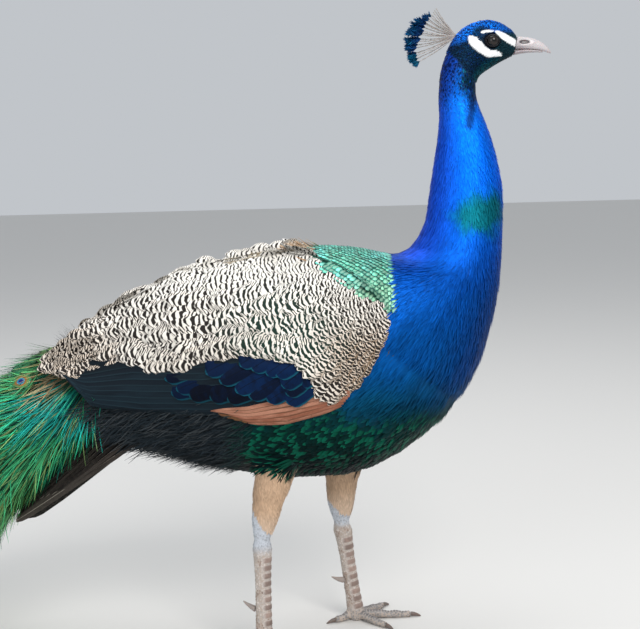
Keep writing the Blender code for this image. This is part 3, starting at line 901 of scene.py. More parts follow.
def plant(name: str, roots: Roots, plumes: PlumeSet, finish: bpy.types.Material, patch: float = TUFT_PATCH,
          tip_sharpness: float = 1.0) -> bpy.types.Object:
    """Plants a coat piece.

    Args:
        name: The piece's name.
        roots: Its roots.
        plumes: The shapes that it picks from.
        finish: Its material.
        patch: The width of one plume's patch on the bake map.
        tip_sharpness: How late along the plume its tip colour takes over.

    Returns:
        The piece, a plain mesh with its colours and maps.
    """
    rise = roots.normals
    lie = unit(roots.lie - rise * (roots.lie * rise).sum(axis=1, keepdims=True))
    tilt = roots.tilt[:, None]
    along = lie * np.cos(tilt) + rise * np.sin(tilt)
    above = rise * np.cos(tilt) - lie * np.sin(tilt)
    roll = roots.roll[:, None]
    above = above * np.cos(roll) + np.cross(along, above) * np.sin(roll)
    start = bpy.data.meshes.new("roots")
    start.vertices.add(len(roots.points))
    start.vertices.foreach_set("co", roots.points.astype(np.float32).ravel())
    passing = {"lie": along, "rise": above, "size": roots.size, "kind": roots.kind.astype(np.int32),
               "root_tint": roots.root_tint, "tip_tint": roots.tip_tint, "chance": roots.chance,
               "place": unwrap_roots(roots.points, roots.normals, patch)}
    for key, values in {**passing, **roots.marks}.items():
        put(start, key, values)
    mesh = PLANT.run(start, Plumes=plumes.collection, Finish=finish)
    # Each plume runs from its root colour to its tip colour; the darker roots are painted shade between the plumes.
    reach = take(mesh, "reach", 1)
    share = np.clip(reach, 0, 1) ** tip_sharpness
    paint(mesh, blend(take(mesh, "root_tint", 3), take(mesh, "tip_tint", 3), share))
    corners = corner_vertices(mesh)
    vane = read(mesh.uv_layers["vane"].data, "uv", 2)
    put_map(mesh, BAKE_MAP, take(mesh, "place", 2)[corners] + (vane - 0.5) * patch)
    for key in ("lie", "rise", "size", "kind", "root_tint", "tip_tint", "place", "reach", "edge"):
        if key in mesh.attributes:
            mesh.attributes.remove(mesh.attributes[key])
    shade_smooth(mesh)
    mesh.name = name
    return add_object(name, mesh)


# ------------------------------------------------------------------------------------------- finishes


class Bench:
    """Places and joins the shader nodes of one material."""

    def __init__(self, name: str) -> None:
        """Starts a material with a Principled shader.

        Args:
            name: The material's name.
        """
        self.material = bpy.data.materials.new(name)
        self.material.use_nodes = True
        self.tree = self.material.node_tree
        self.tree.nodes.clear()
        self.shader = self.tree.nodes.new("ShaderNodeBsdfPrincipled")
        self.output = self.tree.nodes.new("ShaderNodeOutputMaterial")
        self.tree.links.new(self.shader.outputs["BSDF"], self.output.inputs["Surface"])

    def feed(self, socket: Socket, value: object) -> None:
        """Links a socket's output to an input, or stores a number or colour on it.

        Args:
            socket: The input.
            value: What it gets.
        """
        if isinstance(value, Wire):
            value = value.socket
        if isinstance(value, bpy.types.NodeSocket):
            self.tree.links.new(value, socket)
        elif isinstance(value, tuple) and len(value) == 3 and socket.type == "RGBA":
            socket.default_value = (*value, 1.0)
        else:
            socket.default_value = value

    def node(self, kind: str, inputs: dict[str, object], **settings: object) -> bpy.types.Node:
        """Adds a node with its settings and inputs.

        Args:
            kind: The node's type.
            inputs: What its inputs get, by name.
            settings: Its properties.

        Returns:
            The node.
        """
        made = self.tree.nodes.new(kind)
        for key, value in settings.items():
            setattr(made, key, value)
        for key, value in inputs.items():
            self.feed(made.inputs[key], value)
        return made

    def wire(self, kind: str, inputs: dict[str, object], output: str, **settings: object) -> Wire:
        """Adds a node with its settings and inputs, and gives one of its outputs."""
        return Wire(self, self.node(kind, inputs, **settings).outputs[output])

    def attribute(self, name: str, output: str = "Color") -> Wire:
        """A named attribute of the piece's mesh."""
        return self.wire("ShaderNodeAttribute", {}, output, attribute_name=name)

    def chance(self) -> Wire:
        """The feather's own random number, from 0 to 1."""
        return self.attribute("chance", "Fac")

    def split(self, vector: object) -> tuple[Wire, ...]:
        """The three numbers of a vector."""
        made = self.node("ShaderNodeSeparateXYZ", {"Vector": vector})
        return tuple(Wire(self, made.outputs[axis]) for axis in "XYZ")

    def vane(self) -> tuple[Wire, ...]:
        """How far along and across its feather a place lies, both from 0 to 1."""
        return self.split(self.wire("ShaderNodeUVMap", {}, "UV", uv_map="vane"))[:2]

    def place(self) -> Wire:
        """The place in the piece's own coordinates."""
        return self.wire("ShaderNodeTexCoord", {}, "Object")

    def math(self, operation: str, first: object, second: object = 0.0, third: object = 0.0) -> Wire:
        """A sum or other operation on numbers.

        Args:
            operation: The operation's name.
            first: The first number.
            second: The second number, where there is one.
            third: The third number, where there is one.

        Returns:
            The result.
        """
        made = self.node("ShaderNodeMath", {}, operation=operation)
        for socket, value in zip(made.inputs, (first, second, third)):
            self.feed(socket, value)
        return Wire(self, made.outputs[0])

    def vector(self, x: object, y: object, z: object = 0.0) -> Wire:
        """A vector from three numbers."""
        return self.wire("ShaderNodeCombineXYZ", {"X": x, "Y": y, "Z": z}, "Vector")

    def step(self, value: object, low: float, high: float) -> Wire:
        """A smooth rise from 0 at low to 1 at high, or a fall where high is the lower.

        Args:
            value: The number that is tested.
            low: Where the step starts.
            high: Where it ends.

        Returns:
            A number from 0 to 1.
        """
        first, last = (0.0, 1.0) if high > low else (1.0, 0.0)
        ends = {"From Min": min(low, high), "From Max": max(low, high), "To Min": first, "To Max": last}
        return self.wire("ShaderNodeMapRange", {"Value": value, **ends}, "Result", interpolation_type="SMOOTHSTEP")

    def noise(self, vector: object, scale: object, detail: float = 2.0, roughness: float = 0.5) -> Wire:
        """Noise from 0 to 1."""
        inputs = {"Vector": vector, "Scale": scale, "Detail": detail, "Roughness": roughness}
        return self.wire("ShaderNodeTexNoise", inputs, "Fac")

    def mix(self, share: object, first: object, second: object, kind: str = "MIX") -> Wire:
        """A mix of two colours, or another blend of them.

        Args:
            share: The share of the second colour.
            first: The first colour.
            second: The second colour.
            kind: The kind of blend.

        Returns:
            The mixed colour.
        """
        made = self.node("ShaderNodeMix", {}, data_type="RGBA", blend_type=kind)
        for number, value in zip(MIX_INPUTS, (share, first, second)):
            self.feed(made.inputs[number], value)
        return Wire(self, made.outputs[2])

    def shade(self, colour: object, amount: object) -> Wire:
        """The colour made darker or lighter by a factor."""
        grey = self.node("ShaderNodeCombineColor", {"Red": amount, "Green": amount, "Blue": amount})
        return self.mix(1.0, colour, grey.outputs["Color"], "MULTIPLY")

    def tinted(self, colour: object, share: float = 1.0) -> Wire:
        """The colour multiplied by the piece's own tint, by a share."""
        return self.mix(share, colour, self.attribute("tint"), "MULTIPLY")

    def bump(self, height: Wire, strength: float, distance: float) -> None:
        """Gives the surface a relief."""
        made = self.node("ShaderNodeBump", {"Height": height, "Strength": strength, "Distance": distance})
        self.feed(self.shader.inputs["Normal"], made.outputs["Normal"])

    def surface(self, colour: object, roughness: object, **constants: object) -> bpy.types.Material:
        """Sets the shader's colour, roughness and constants, with _ for a space in a constant's name.

        Args:
            colour: The base colour.
            roughness: The roughness.
            constants: Other inputs of the shader.

        Returns:
            The finished material.
        """
        self.feed(self.shader.inputs["Base Color"], colour)
        self.feed(self.shader.inputs["Roughness"], roughness)
        for key, value in constants.items():
            self.feed(self.shader.inputs[key.replace("_", " ")], value)
        return self.material


@dataclass(frozen=True)
class Wire:
    """A number or colour on its way through a material, for sums in plain notation."""

    bench: Bench
    socket: Socket

    def __add__(self, other: object) -> Wire:
        """This plus the other."""
        return self.bench.math("ADD", self, other)

    def __sub__(self, other: object) -> Wire:
        """This less the other."""
        return self.bench.math("SUBTRACT", self, other)

    def __rsub__(self, other: object) -> Wire:
        """The other less this."""
        return self.bench.math("SUBTRACT", other, self)

    def __mul__(self, other: object) -> Wire:
        """This times the other."""
        return self.bench.math("MULTIPLY", self, other)

    def __truediv__(self, other: object) -> Wire:
        """This over the other."""
        return self.bench.math("DIVIDE", self, other)

    def __rtruediv__(self, other: object) -> Wire:
        """The other over this."""
        return self.bench.math("DIVIDE", other, self)

    def __abs__(self) -> Wire:
        """This without its sign."""
        return self.bench.math("ABSOLUTE", self)

    def scaled(self, factor: object, offset: object) -> Wire:
        """This times a factor, plus an offset."""
        return self.bench.math("MULTIPLY_ADD", self, factor, offset)


@dataclass(frozen=True)
class SkinFinish:
    """Bare or feathered skin, which carries the plumage's colours; where feathers cover it, mostly their darker root
    colours, painted shade.
    """

    name: str = "bird_skin"

    def material(self) -> bpy.types.Material:
        """Builds the material.

        Returns:
            The material.
        """
        bench = Bench(self.name)
        tint = bench.attribute("tint")
        grain = bench.noise(bench.place(), 900.0, 3.0)
        colour = bench.shade(tint, grain.scaled(0.5, 0.75))
        bench.bump(grain, 0.35, 0.0006)
        return bench.surface(colour, grain.scaled(0.2, 0.55), Specular_IOR_Level=0.2)


@dataclass(frozen=True)
class PlumeFinish:
    """Soft feathers that take their colour from the piece, with fine barbs along them."""

    name: str
    roughness: float = 0.45
    metallic: float = 0.25
    sheen: float = 0.0
    streaks: float = 0.5  # how much the barbs change the colour
    variety: float = 0.5  # how much feathers differ from each other
    specular: float = 0.2
    relief: float = 0.4
    barbs: float = 26.0  # barbs across one feather

    def material(self) -> bpy.types.Material:
        """Builds the material.

        Returns:
            The material.
        """
        bench = Bench(self.name)
        reach, across = bench.vane()
        chance = bench.chance()
        middle = abs(across - 0.5)
        slant = middle * 1.6 - reach
        lines = bench.noise(bench.vector(slant * 0.9, across * (self.barbs * 0.18), chance * 60.0), 6.0, 3.0, 0.6)
        amount = lines.scaled(self.streaks * 2.0, 1.0 - self.streaks)
        amount = amount * chance.scaled(self.variety, 1.0 - self.variety / 2)
        colour = bench.shade(bench.attribute("tint"), amount)
        bench.bump(lines, self.relief, 0.0005)
        rough = lines.scaled(0.25, self.roughness - 0.12)
        return bench.surface(colour, rough, Metallic=self.metallic, Sheen_Weight=self.sheen, Sheen_Roughness=0.4,
                             Specular_IOR_Level=self.specular)


@dataclass(frozen=True)
class ScaleFinish:
    """Rounded scale-like feathers: a shining middle inside a dark edge."""

    name: str
    edge: Colour = (0.002, 0.012, 0.012)
    heart: Colour = (0.10, 0.16, 0.03)
    metallic: float = 0.35

    def material(self) -> bpy.types.Material:
        """Builds the material.

        Returns:
            The material.
        """
        bench = Bench(self.name)
        reach, across = bench.vane()
        chance = bench.chance()
        side = (across - 0.5) * 2.0
        # The distance from the middle of the rounded tip, one at the feather's edge.
        ahead = bench.math("MAXIMUM", (reach - 0.62) * 2.5, 0.0)
        out = bench.math("SQRT", side * side + ahead * ahead)
        wobble = bench.noise(bench.vector(reach * 4.0, across * 14.0, chance * 40.0), 3.0, 2.0)
        out = out + wobble.scaled(0.16, -0.08)
        tint = bench.shade(bench.attribute("tint"), chance.scaled(0.7, 0.65))
        core = bench.step(out, 0.62, 0.20) * 0.35
        colour = bench.mix(core, tint, self.heart)
        colour = bench.mix(bench.step(out, 0.70, 0.86), colour, self.edge)
        bench.bump(wobble, 0.4, 0.0005)
        return bench.surface(colour, wobble.scaled(0.2, 0.34), Metallic=self.metallic, Specular_IOR_Level=0.25)


@dataclass(frozen=True)
class BarredFinish:
    """Cream feathers with wavy brown-black bars, broad down the middle and fine along the edges."""

    name: str = "barred_feather"
    cream: Colour = (0.82, 0.79, 0.73)
    buff: Colour = (0.52, 0.34, 0.20)
    bar: Colour = (0.016, 0.012, 0.010)
    gloss_bar: Colour = (0.006, 0.030, 0.020)

    def material(self) -> bpy.types.Material:
        """Builds the material.

        Returns:
            The material.
        """
        bench = Bench(self.name)
        reach, across = bench.vane()
        chance = bench.chance()
        length, width, period = bench.split(bench.attribute("span", "Vector"))
        fine, buffness, green = bench.split(bench.attribute("nature", "Vector"))
        ink_share = bench.attribute("ink", "Fac")
        x = reach * length
        y = (across - 0.5) * width
        own = chance * 37.0
        place = bench.vector(x, y, own)
        drift = bench.noise(place, 0.42 / period, 2.0, 0.55) - 0.5
        side = abs((across - 0.5) * 2.0)
        # Each bar bows towards the tip in the middle of the feather.
        bowed = (side * side).scaled(width * 0.16, x)
        wave = drift.scaled(1.7, bowed / period)
        wave = wave + own
        broad = bench.math("SINE", wave * FULL_TURN)
        narrow = bench.math("SINE", drift.scaled(6.0, wave * (2 * FULL_TURN)))
        border = bench.step(side + drift * 0.7, 0.46, 0.70)
        border = bench.math("MAXIMUM", border, fine)
        level = (1.0 - border) * broad + border * narrow
        limit = side.scaled(0.30, -0.16)
        broken = bench.noise(place, 1.1 / period, 1.0)
        limit = limit + broken.scaled(1.5, -0.75)
        limit = limit - ink_share
        dark = bench.step(level - limit, -0.10, 0.16)
        light = bench.mix(buffness * border.scaled(0.5, 0.5), self.cream, self.buff)
        light = bench.shade(light, drift.scaled(0.7, 1.0))
        ink = bench.mix(green, self.bar, self.gloss_bar)
        colour = bench.mix(dark, light, ink)
        rim = bench.step(reach, 0.93, 1.0)
        colour = bench.mix(rim * 0.55, colour, light)
        barbs = bench.noise(bench.vector((x - abs(y)) * 300.0, y * 2600.0, own), 1.0, 2.0)
        bench.bump(barbs, 0.35, 0.0004)
        return bench.surface(colour, 0.62, Specular_IOR_Level=0.2)


@dataclass(frozen=True)
class FlightFinish:
    """A long flight or tail feather: a pale or dark shaft, slanting barbs and, on some, a bright rim."""

    name: str
    vane_colour: Colour
    second_colour: Colour
    rim: Colour
    rim_share: float = 0.0
    shaft: Colour = (0.02, 0.02, 0.02)
    shaft_width: float = 0.05
    mottle: float = 0.0
    metallic: float = 0.15
    roughness: float = 0.42

    def material(self) -> bpy.types.Material:
        """Builds the material.

        Returns:
            The material.
        """
        bench = Bench(self.name)
        reach, across = bench.vane()
        chance = bench.chance()
        side = abs(across - 0.5)
        slant = reach - side * 0.45
        barbs = bench.noise(bench.vector(slant * 60.0, across * 3.0, chance * 50.0), 1.6, 3.0, 0.65)
        broad = bench.noise(bench.vector(reach * 5.0, across * 1.4, chance * 90.0), 1.3, 2.0)
        colour = bench.mix(bench.step(broad + chance.scaled(0.5, -0.25), 0.30, 0.72), self.vane_colour,
                           self.second_colour)
        colour = bench.shade(colour, barbs.scaled(0.9, 0.55))
        colour = bench.tinted(colour)
        if self.mottle:
            spots = bench.noise(bench.vector(reach * 60.0, across * 9.0, chance), 1.0, 2.0)
            colour = bench.mix(bench.step(spots, 0.5, 0.62) * self.mottle, colour, self.rim)
        if self.rim_share:
            lower = bench.step(across + broad.scaled(0.05, -0.025), 0.12, 0.03)
            tip = bench.step(reach, 0.955, 0.985)
            edge = bench.math("MAXIMUM", lower, tip)
            colour = bench.mix(edge * self.rim_share, colour, bench.tinted(self.rim, 0.6))
        shaft = bench.step(side, self.shaft_width, self.shaft_width * 0.4)
        colour = bench.mix(shaft * 0.85, colour, self.shaft)
        height = barbs * 0.5 + shaft
        bench.bump(height, 0.45, 0.0006)
        return bench.surface(colour, barbs.scaled(0.25, self.roughness - 0.12), Metallic=self.metallic,
                             Specular_IOR_Level=0.14)


@dataclass(frozen=True)
class EyespotFinish:
    """The eye of a train feather: dark blue heart, turquoise, bronze and green rings, and gold edge."""

    name: str = "train_eyespot"
    rings: tuple[tuple[float, Colour], ...] = (
        (0.00, (0.004, 0.006, 0.090)), (0.22, (0.006, 0.010, 0.160)), (0.30, (0.005, 0.140, 0.330)),
        (0.42, (0.010, 0.260, 0.330)), (0.48, (0.200, 0.085, 0.020)), (0.68, (0.260, 0.120, 0.025)),
        (0.72, (0.120, 0.160, 0.020)), (0.80, (0.030, 0.200, 0.060)), (0.87, (0.160, 0.170, 0.025)),
        (1.00, (0.020, 0.150, 0.060)),
    )

    def material(self) -> bpy.types.Material:
        """Builds the material.

        Returns:
            The material.
        """
        bench = Bench(self.name)
        reach, across = bench.vane()
        chance = bench.chance()
        side = (across - 0.5) * 2.0
        ahead = (reach - 0.52) * 2.05
        out = bench.math("SQRT", side * side + ahead * ahead)
        # The heart is notched where it faces the root.
        angle = bench.math("ARCTAN2", side, ahead + 0.12)
        barbs = bench.noise(bench.vector(angle * 9.0, out * 1.5, chance * 30.0), 3.0, 3.0, 0.6)
        out = out + barbs.scaled(0.10, -0.05)
        ramp = bench.node("ShaderNodeValToRGB", {"Fac": out})
        stops = ramp.color_ramp.elements
        while len(stops) < len(self.rings):
            stops.new(0.5)
        for stop, (place, colour) in zip(stops, self.rings):
            stop.position, stop.color = place, (*colour, 1.0)
        colour = bench.shade(ramp.outputs["Color"], barbs.scaled(0.8, 0.7))
        bench.bump(barbs, 0.4, 0.0005)
        return bench.surface(colour, barbs.scaled(0.2, 0.28), Metallic=0.4, Specular_IOR_Level=0.5)


@dataclass(frozen=True)
class HornFinish:
    """Bill or claw horn with growth lines, darker or paler towards one end."""

    name: str
    pale: Colour
    dark: Colour
    axis_scale: tuple[float, float, float] = (60.0, 500.0, 500.0)
    roughness: float = 0.35

    def material(self) -> bpy.types.Material:
        """Builds the material.

        Returns:
            The material.
        """
        bench = Bench(self.name)
        place = bench.node("ShaderNodeMapping", {"Vector": bench.place(), "Scale": self.axis_scale}).outputs["Vector"]
        lines = bench.noise(place, 1.0, 4.0, 0.6)
        clouds = bench.noise(bench.place(), 160.0, 2.0)
        colour = bench.mix(lines * 0.35, self.pale, self.dark)
        colour = bench.mix(clouds * 0.20, colour, self.dark)
        bench.bump(lines, 0.25, 0.0004)
        return bench.surface(bench.tinted(colour), lines.scaled(0.2, self.roughness - 0.1), Coat_Weight=0.25,
                             Coat_Roughness=0.2, Subsurface_Weight=0.05)


@dataclass(frozen=True)
class EyeFinish:
    """A wet dark eye: black pupil, deep brown iris with fine rays, darker rim."""

    name: str = "wet_eye"
    pupil: Colour = (0.001, 0.001, 0.001)
    iris: Colour = (0.012, 0.006, 0.005)
    rim: Colour = (0.004, 0.003, 0.003)

    def material(self) -> bpy.types.Material:
        """Builds the material.

        Returns:
            The material.
        """
        bench = Bench(self.name)
        around, out = bench.vane()
        turn = around * FULL_TURN
        rays = bench.noise(bench.vector(bench.math("COSINE", turn) * 9.0, bench.math("SINE", turn) * 9.0, out * 2.0),
                           2.0, 3.0)
        iris = bench.shade(bench.mix(0.0, self.iris, self.iris), rays.scaled(1.6, 0.3))
        colour = bench.mix(bench.step(out, 0.27, 0.31), self.pupil, iris)
        colour = bench.mix(bench.step(out, 0.46, 0.56), colour, self.rim)
        return bench.surface(colour, 0.10, Coat_Weight=0.35, Coat_Roughness=0.02, Specular_IOR_Level=0.25)


@dataclass(frozen=True)
class ScuteFinish:
    """Horny plates and small scales of the legs and toes."""

    name: str = "leg_scutes"

    def material(self) -> bpy.types.Material:
        """Builds the material.

        Returns:
            The material.
        """
        bench = Bench(self.name)
        place = bench.place()
        clouds = bench.noise(place, 260.0, 3.0)
        fine = bench.noise(place, 1800.0, 2.0)
        colour = bench.shade(bench.attribute("tint"), clouds.scaled(0.8, 0.6))
        colour = bench.mix(bench.step(fine, 0.55, 0.75) * 0.3, colour, (0.10, 0.08, 0.07))
        bench.bump(clouds + fine * 0.5, 0.35, 0.0006)
        return bench.surface(colour, clouds.scaled(0.3, 0.35), Specular_IOR_Level=0.4)


@dataclass(frozen=True)
class FloorFinish:
    """A plain pale floor."""

    name: str = "studio_floor"
    colour: Colour = (0.72, 0.71, 0.69)

    def material(self) -> bpy.types.Material:
        """Builds the material."""
        bench = Bench(self.name)
        return bench.surface(self.colour, 0.85, Specular_IOR_Level=0.15)


# ------------------------------------------------------------------------------- markings of the bird

EYE = (np.array(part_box("eye_left")[0]) + np.array(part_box("eye_left")[1])) / 2
EYE_RADIUS = (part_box("eye_left")[1].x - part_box("eye_left")[0].x) / 2
OPENING = (0.0082, 0.0069)  # half width and half height between the lids


@dataclass(frozen=True)
class Stroke:
    """A bare patch of the face as a line of points from the eye's middle, each with the patch's half width."""

    line: tuple[tuple[float, float, float], ...]

    def distance(self, flat: Array) -> Array:
        """Distance outside the patch, negative inside it, of points given from the eye's middle.

        Args:
            flat: The x and z of each point, from the eye's middle.

        Returns:
            The distances, in metres.
        """
        rows = smooth_curve(np.array(self.line), np.linspace(0, len(self.line) - 1, 8 * len(self.line)))
        gap = np.linalg.norm(flat[:, None] - rows[None, :, :2], axis=2) - rows[None, :, 2]
        return gap.min(axis=1)


@dataclass(frozen=True)
class FaceMarks:
    """The white bare patches of the face: above the eye and in a crescent behind and below it."""

    strokes: tuple[Stroke, ...] = (
        Stroke(((0.0335, -0.0050, 0.0030), (0.0290, -0.0025, 0.0042), (0.0205, 0.0020, 0.0044),
                (0.0135, 0.0062, 0.0040),
                (0.0085, 0.0095, 0.0030), (0.0050, 0.0118, 0.0015))),
        Stroke(((0.0010, 0.0126, 0.0010), (-0.0070, 0.0125, 0.0018), (-0.0140, 0.0112, 0.0015))),
        Stroke(((-0.0292, 0.0050, 0.0030), (-0.0252, 0.0000, 0.0063), (-0.0188, -0.0068, 0.0062),
                (-0.0140, -0.0112, 0.0054), (-0.0055, -0.0163, 0.0048), (0.0024, -0.0166, 0.0038),
                (0.0095, -0.0175, 0.0025), (0.0118, -0.0192, 0.0010))),
    )

    def distance(self, points: Array) -> Array:
        """Distance outside the nearest bare patch, for points in the frame."""
        flat = points[:, [0, 2]] - EYE[[0, 2]]
        return np.min([stroke.distance(flat) for stroke in self.strokes], axis=0)

    def opening(self, points: Array) -> Array:
        """How far points lie from the eye's middle, one at the edge of the lids."""
        flat = (points[:, [0, 2]] - EYE[[0, 2]]) / np.array(OPENING)
        return np.linalg.norm(flat, axis=1)


FACE = FaceMarks()
WHITE_SKIN = np.array((0.82, 0.84, 0.84))
LID_GREY = np.array((0.022, 0.022, 0.026))
# Heights on the neck and breast, each with the feathers' colour there.
NECK_LEVELS = np.array((
    (0.240, 0.0015, 0.011, 0.012), (0.290, 0.0010, 0.029, 0.025), (0.325, 0.0010, 0.041, 0.047),
    (0.363, 0.0010, 0.078, 0.185), (0.410, 0.0005, 0.090, 0.350), (0.467, 0.0005, 0.094, 0.450),
    (0.536, 0.0005, 0.080, 0.460), (0.600, 0.0005, 0.130, 0.740), (0.660, 0.0005, 0.165, 0.880),
    (0.742, 0.0010, 0.210, 1.000), (0.765, 0.0010, 0.130, 0.680), (0.790, 0.0010, 0.080, 0.420),
))


class Plumage:
    """The colours of the bird's feathers and bare skin by place. Each gives a root colour and a tip colour."""

    def head(self, points: Array, chance: Array) -> tuple[Array, Array]:
        """Crown, cheek, lores, throat and nape.

        Args:
            points: Places in the frame.
            chance: A random number from 0 to 1 for each.

        Returns:
            The root colours and the tip colours.
        """
        flat = points[:, [0, 2]] - EYE[[0, 2]]
        station, share = BODY_LINES.place(points - STANCE)
        count = len(points)
        tip = np.tile((0.002, 0.190, 0.900), (count, 1))
        tip = blend(tip, (0.002, 0.030, 0.190), (chance < 0.25) * 0.8)
        cheek = smoothstep(0.009, -0.003, flat[:, 1] - 0.14 * flat[:, 0] - 0.004)
        cheek = cheek * smoothstep(0.068, 0.052, -flat[:, 0])
        tip = blend(tip, (0.001, 0.022, 0.060), cheek * (chance > 0.06 + 0.4 * smoothstep(0.045, 0.060, -flat[:, 0])))
        behind_eye = smoothstep(0.016, 0.009, np.linalg.norm(flat - np.array((-0.014, 0.007)), axis=1))
        tip = blend(tip, (0.001, 0.030, 0.070), behind_eye * 0.9)
        lores = smoothstep(-0.004, 0.006, flat[:, 0]) * smoothstep(0.015, 0.006, flat[:, 1])
        tip = blend(tip, (0.001, 0.040, 0.055), lores)
        throat = smoothstep(0.24, 0.06, share) * smoothstep(0.4, 1.2, station)
        tip = blend(tip, (0.002, 0.100, 0.130), throat * 0.9)
        nape = smoothstep(0.55, 0.85, share) * smoothstep(2.0, 2.6, station) * (1 - cheek)
        tip = blend(tip, (0.006, 0.100, 0.560), nape * (chance > 0.35))
        ring = smoothstep(1.70, 1.25, FACE.opening(points))
        tip = blend(tip, (0.001, 0.006, 0.012), ring)
        tip = tip * (0.55 + 0.9 * chance[:, None])
        root = tip * 0.12 + np.array((0.0, 0.003, 0.010))
        return root, tip

    def neck(self, points: Array, chance: Array) -> tuple[Array, Array]:
        """Cobalt neck and breast, which turn teal and then green-black on the belly.

        Args:
            points: Places in the frame.
            chance: A random number from 0 to 1 for each.

        Returns:
            The root colours and the tip colours.
        """
        own = points - STANCE
        station, share = BODY_LINES.place(own)
        level = own[:, 2] + 0.22 * np.minimum(own[:, 0] - 0.10, 0.03) * -1.0 + 0.030 * (cloudy(points, 0.030, 9) - 0.5)
        # The green of the belly reaches higher towards the rear.
        level -= 0.062 * smoothstep(0.13, -0.06, own[:, 0])
        level = np.where(own[:, 2] > 0.50, own[:, 2], level)
        tip = np.stack([np.interp(level, NECK_LEVELS[:, 0], NECK_LEVELS[:, channel]) for channel in (1, 2, 3)], 1)
        # The rear of the neck is more violet, and its front edge and the throat more teal; the teal patch on the side
        # of the neck is painted iridescent sheen.
        violet = smoothstep(0.55, 0.95, share) * smoothstep(8.6, 7.0, station) * smoothstep(0.48, 0.53, own[:, 2])
        tip = blend(tip, (0.010, 0.075, 0.660), violet * 0.75)
        flat = own[:, [0, 2]]
        streak = smooth_curve(np.array(((0.2190, 0.7830), (0.2130, 0.7600), (0.2065, 0.7350), (0.2030, 0.7150))),
                              np.linspace(0, 3, 24))
        near = np.linalg.norm(flat[:, None] - streak[None], axis=2).min(axis=1)
        dark = smoothstep(0.0095, 0.0015, near)
        tip = blend(tip, (0.001, 0.018, 0.110), dark * 0.85)
        high = smoothstep(0.735, 0.770, own[:, 2])
        tip = blend(tip, (0.001, 0.035, 0.090), high * smoothstep(0.70, 0.35, share) * (chance > 0.35))
        tip = blend(tip, (0.002, 0.110, 0.140), high * smoothstep(0.60, 0.40, share) * (chance < 0.15))
        tip = blend(tip, (0.006, 0.060, 0.420), high * smoothstep(0.55, 0.85, share) * (chance > 0.4))
        scaly = smoothstep(0.715, 0.765, own[:, 2])
        tip = tip * (1 - scaly * 0.75 * (np.mod(chance * 13.7, 1.0) < 0.38))[:, None]
        front = smoothstep(0.30, 0.05, share) * smoothstep(0.56, 0.48, own[:, 2]) * smoothstep(0.33, 0.40, own[:, 2])
        tip = blend(tip, (0.001, 0.050, 0.250), front * 0.8)
        # A teal patch on the side of the neck: painted iridescent sheen.
        patch = np.linalg.norm((flat - np.array((0.219, 0.602))) / np.array((0.040, 0.034)), axis=1)
        patch += 0.5 * (cloudy(points, 0.014, 5) - 0.5)
        tip = blend(tip, (0.001, 0.145, 0.165), smoothstep(1.15, 0.45, patch) * 0.95)
        glint = smoothstep(0.350, 0.310, level) * (chance > 0.62)
        tip = blend(tip, (0.003, 0.130, 0.075), glint * 0.7)
        under = smoothstep(0.30, 0.26, own[:, 2]) * smoothstep(0.0, 0.5, np.abs(own[:, 1]) * -12 + 1)
        tip = blend(tip, (0.003, 0.008, 0.010), under * 0.7)
        streaks = cloudy(np.stack([station * 0.02, share * 0.35, own[:, 1] * 1.6], 1), 0.0042, 3)
        tip = tip * (0.78 + 0.16 * chance + 0.36 * streaks)[:, None]
        # The roots are darker than the tips, painted shade between the locks, most of all on the scaly top of the neck
        # and low on the belly.
        root = tip * (0.85 - 0.5 * scaly - 0.40 * smoothstep(0.375, 0.335, level))[:, None]
        return root, tip

    def mantle(self, points: Array, chance: Array) -> tuple[Array, Array]:
        """Green-gold scale feathers, turquoise on the ridge and bronze towards the wing and the rump.

        Args:
            points: Places in the frame.
            chance: A random number from 0 to 1 for each.

        Returns:
            The root colours and the tip colours.
        """
        own = points - STANCE
        tip = np.tile((0.120, 0.600, 0.420), (len(points), 1))
        turquoise = smoothstep(0.30, 0.70, cloudy(points, 0.022, 21)) * 0.9
        tip = blend(tip, (0.140, 0.740, 0.660), turquoise)
        low = smoothstep(0.535, 0.500, own[:, 2])
        tip = blend(tip, (0.250, 0.480, 0.260), low * 0.7)
        rump = smoothstep(-0.10, -0.22, own[:, 0])
        tip = blend(tip, (0.110, 0.170, 0.030), rump * 0.9)
        tip = tip * (0.65 + 0.6 * chance)[:, None]
        return tip * 0.4, tip

    def vent(self, points: Array, chance: Array) -> tuple[Array, Array]:
        """Loose black-brown feathers behind the legs, with a little green in front.

        Args:
            points: Places in the frame.
            chance: A random number from 0 to 1 for each.

        Returns:
            The root colours and the tip colours.
        """
        own = points - STANCE
        tip = np.tile((0.017, 0.026, 0.034), (len(points), 1))
        tip = blend(tip, (0.050, 0.056, 0.060), (chance > 0.7) * 0.7)
        green = smoothstep(-0.12, -0.08, own[:, 0]) * (chance > 0.3)
        tip = blend(tip, (0.003, 0.040, 0.034), green * 0.8)
        return tip * 0.4, tip

    def thigh(self, points: Array, chance: Array) -> tuple[Array, Array]:
        """Short buff feathers, which pale towards the hock and darken under the belly.

        Args:
            points: Places in the frame.
            chance: A random number from 0 to 1 for each.

        Returns:
            The root colours and the tip colours.
        """
        own = points - STANCE
        tip = np.tile((0.580, 0.395, 0.260), (len(points), 1))
        tip = blend(tip, (0.700, 0.540, 0.410), smoothstep(0.215, 0.175, own[:, 2]) * 0.7)
        top = np.where(own[:, 1] < 0, 0.262 - 0.012 * smoothstep(-0.07, -0.04, own[:, 0]), 0.242)
        dark = smoothstep(0.0, 0.010, own[:, 2] - top + 0.008 * (chance - 0.5))
        tip = blend(tip, (0.003, 0.026, 0.024), dark)
        tip = tip * (0.90 + 0.15 * chance)[:, None]
        return tip * 0.88, tip

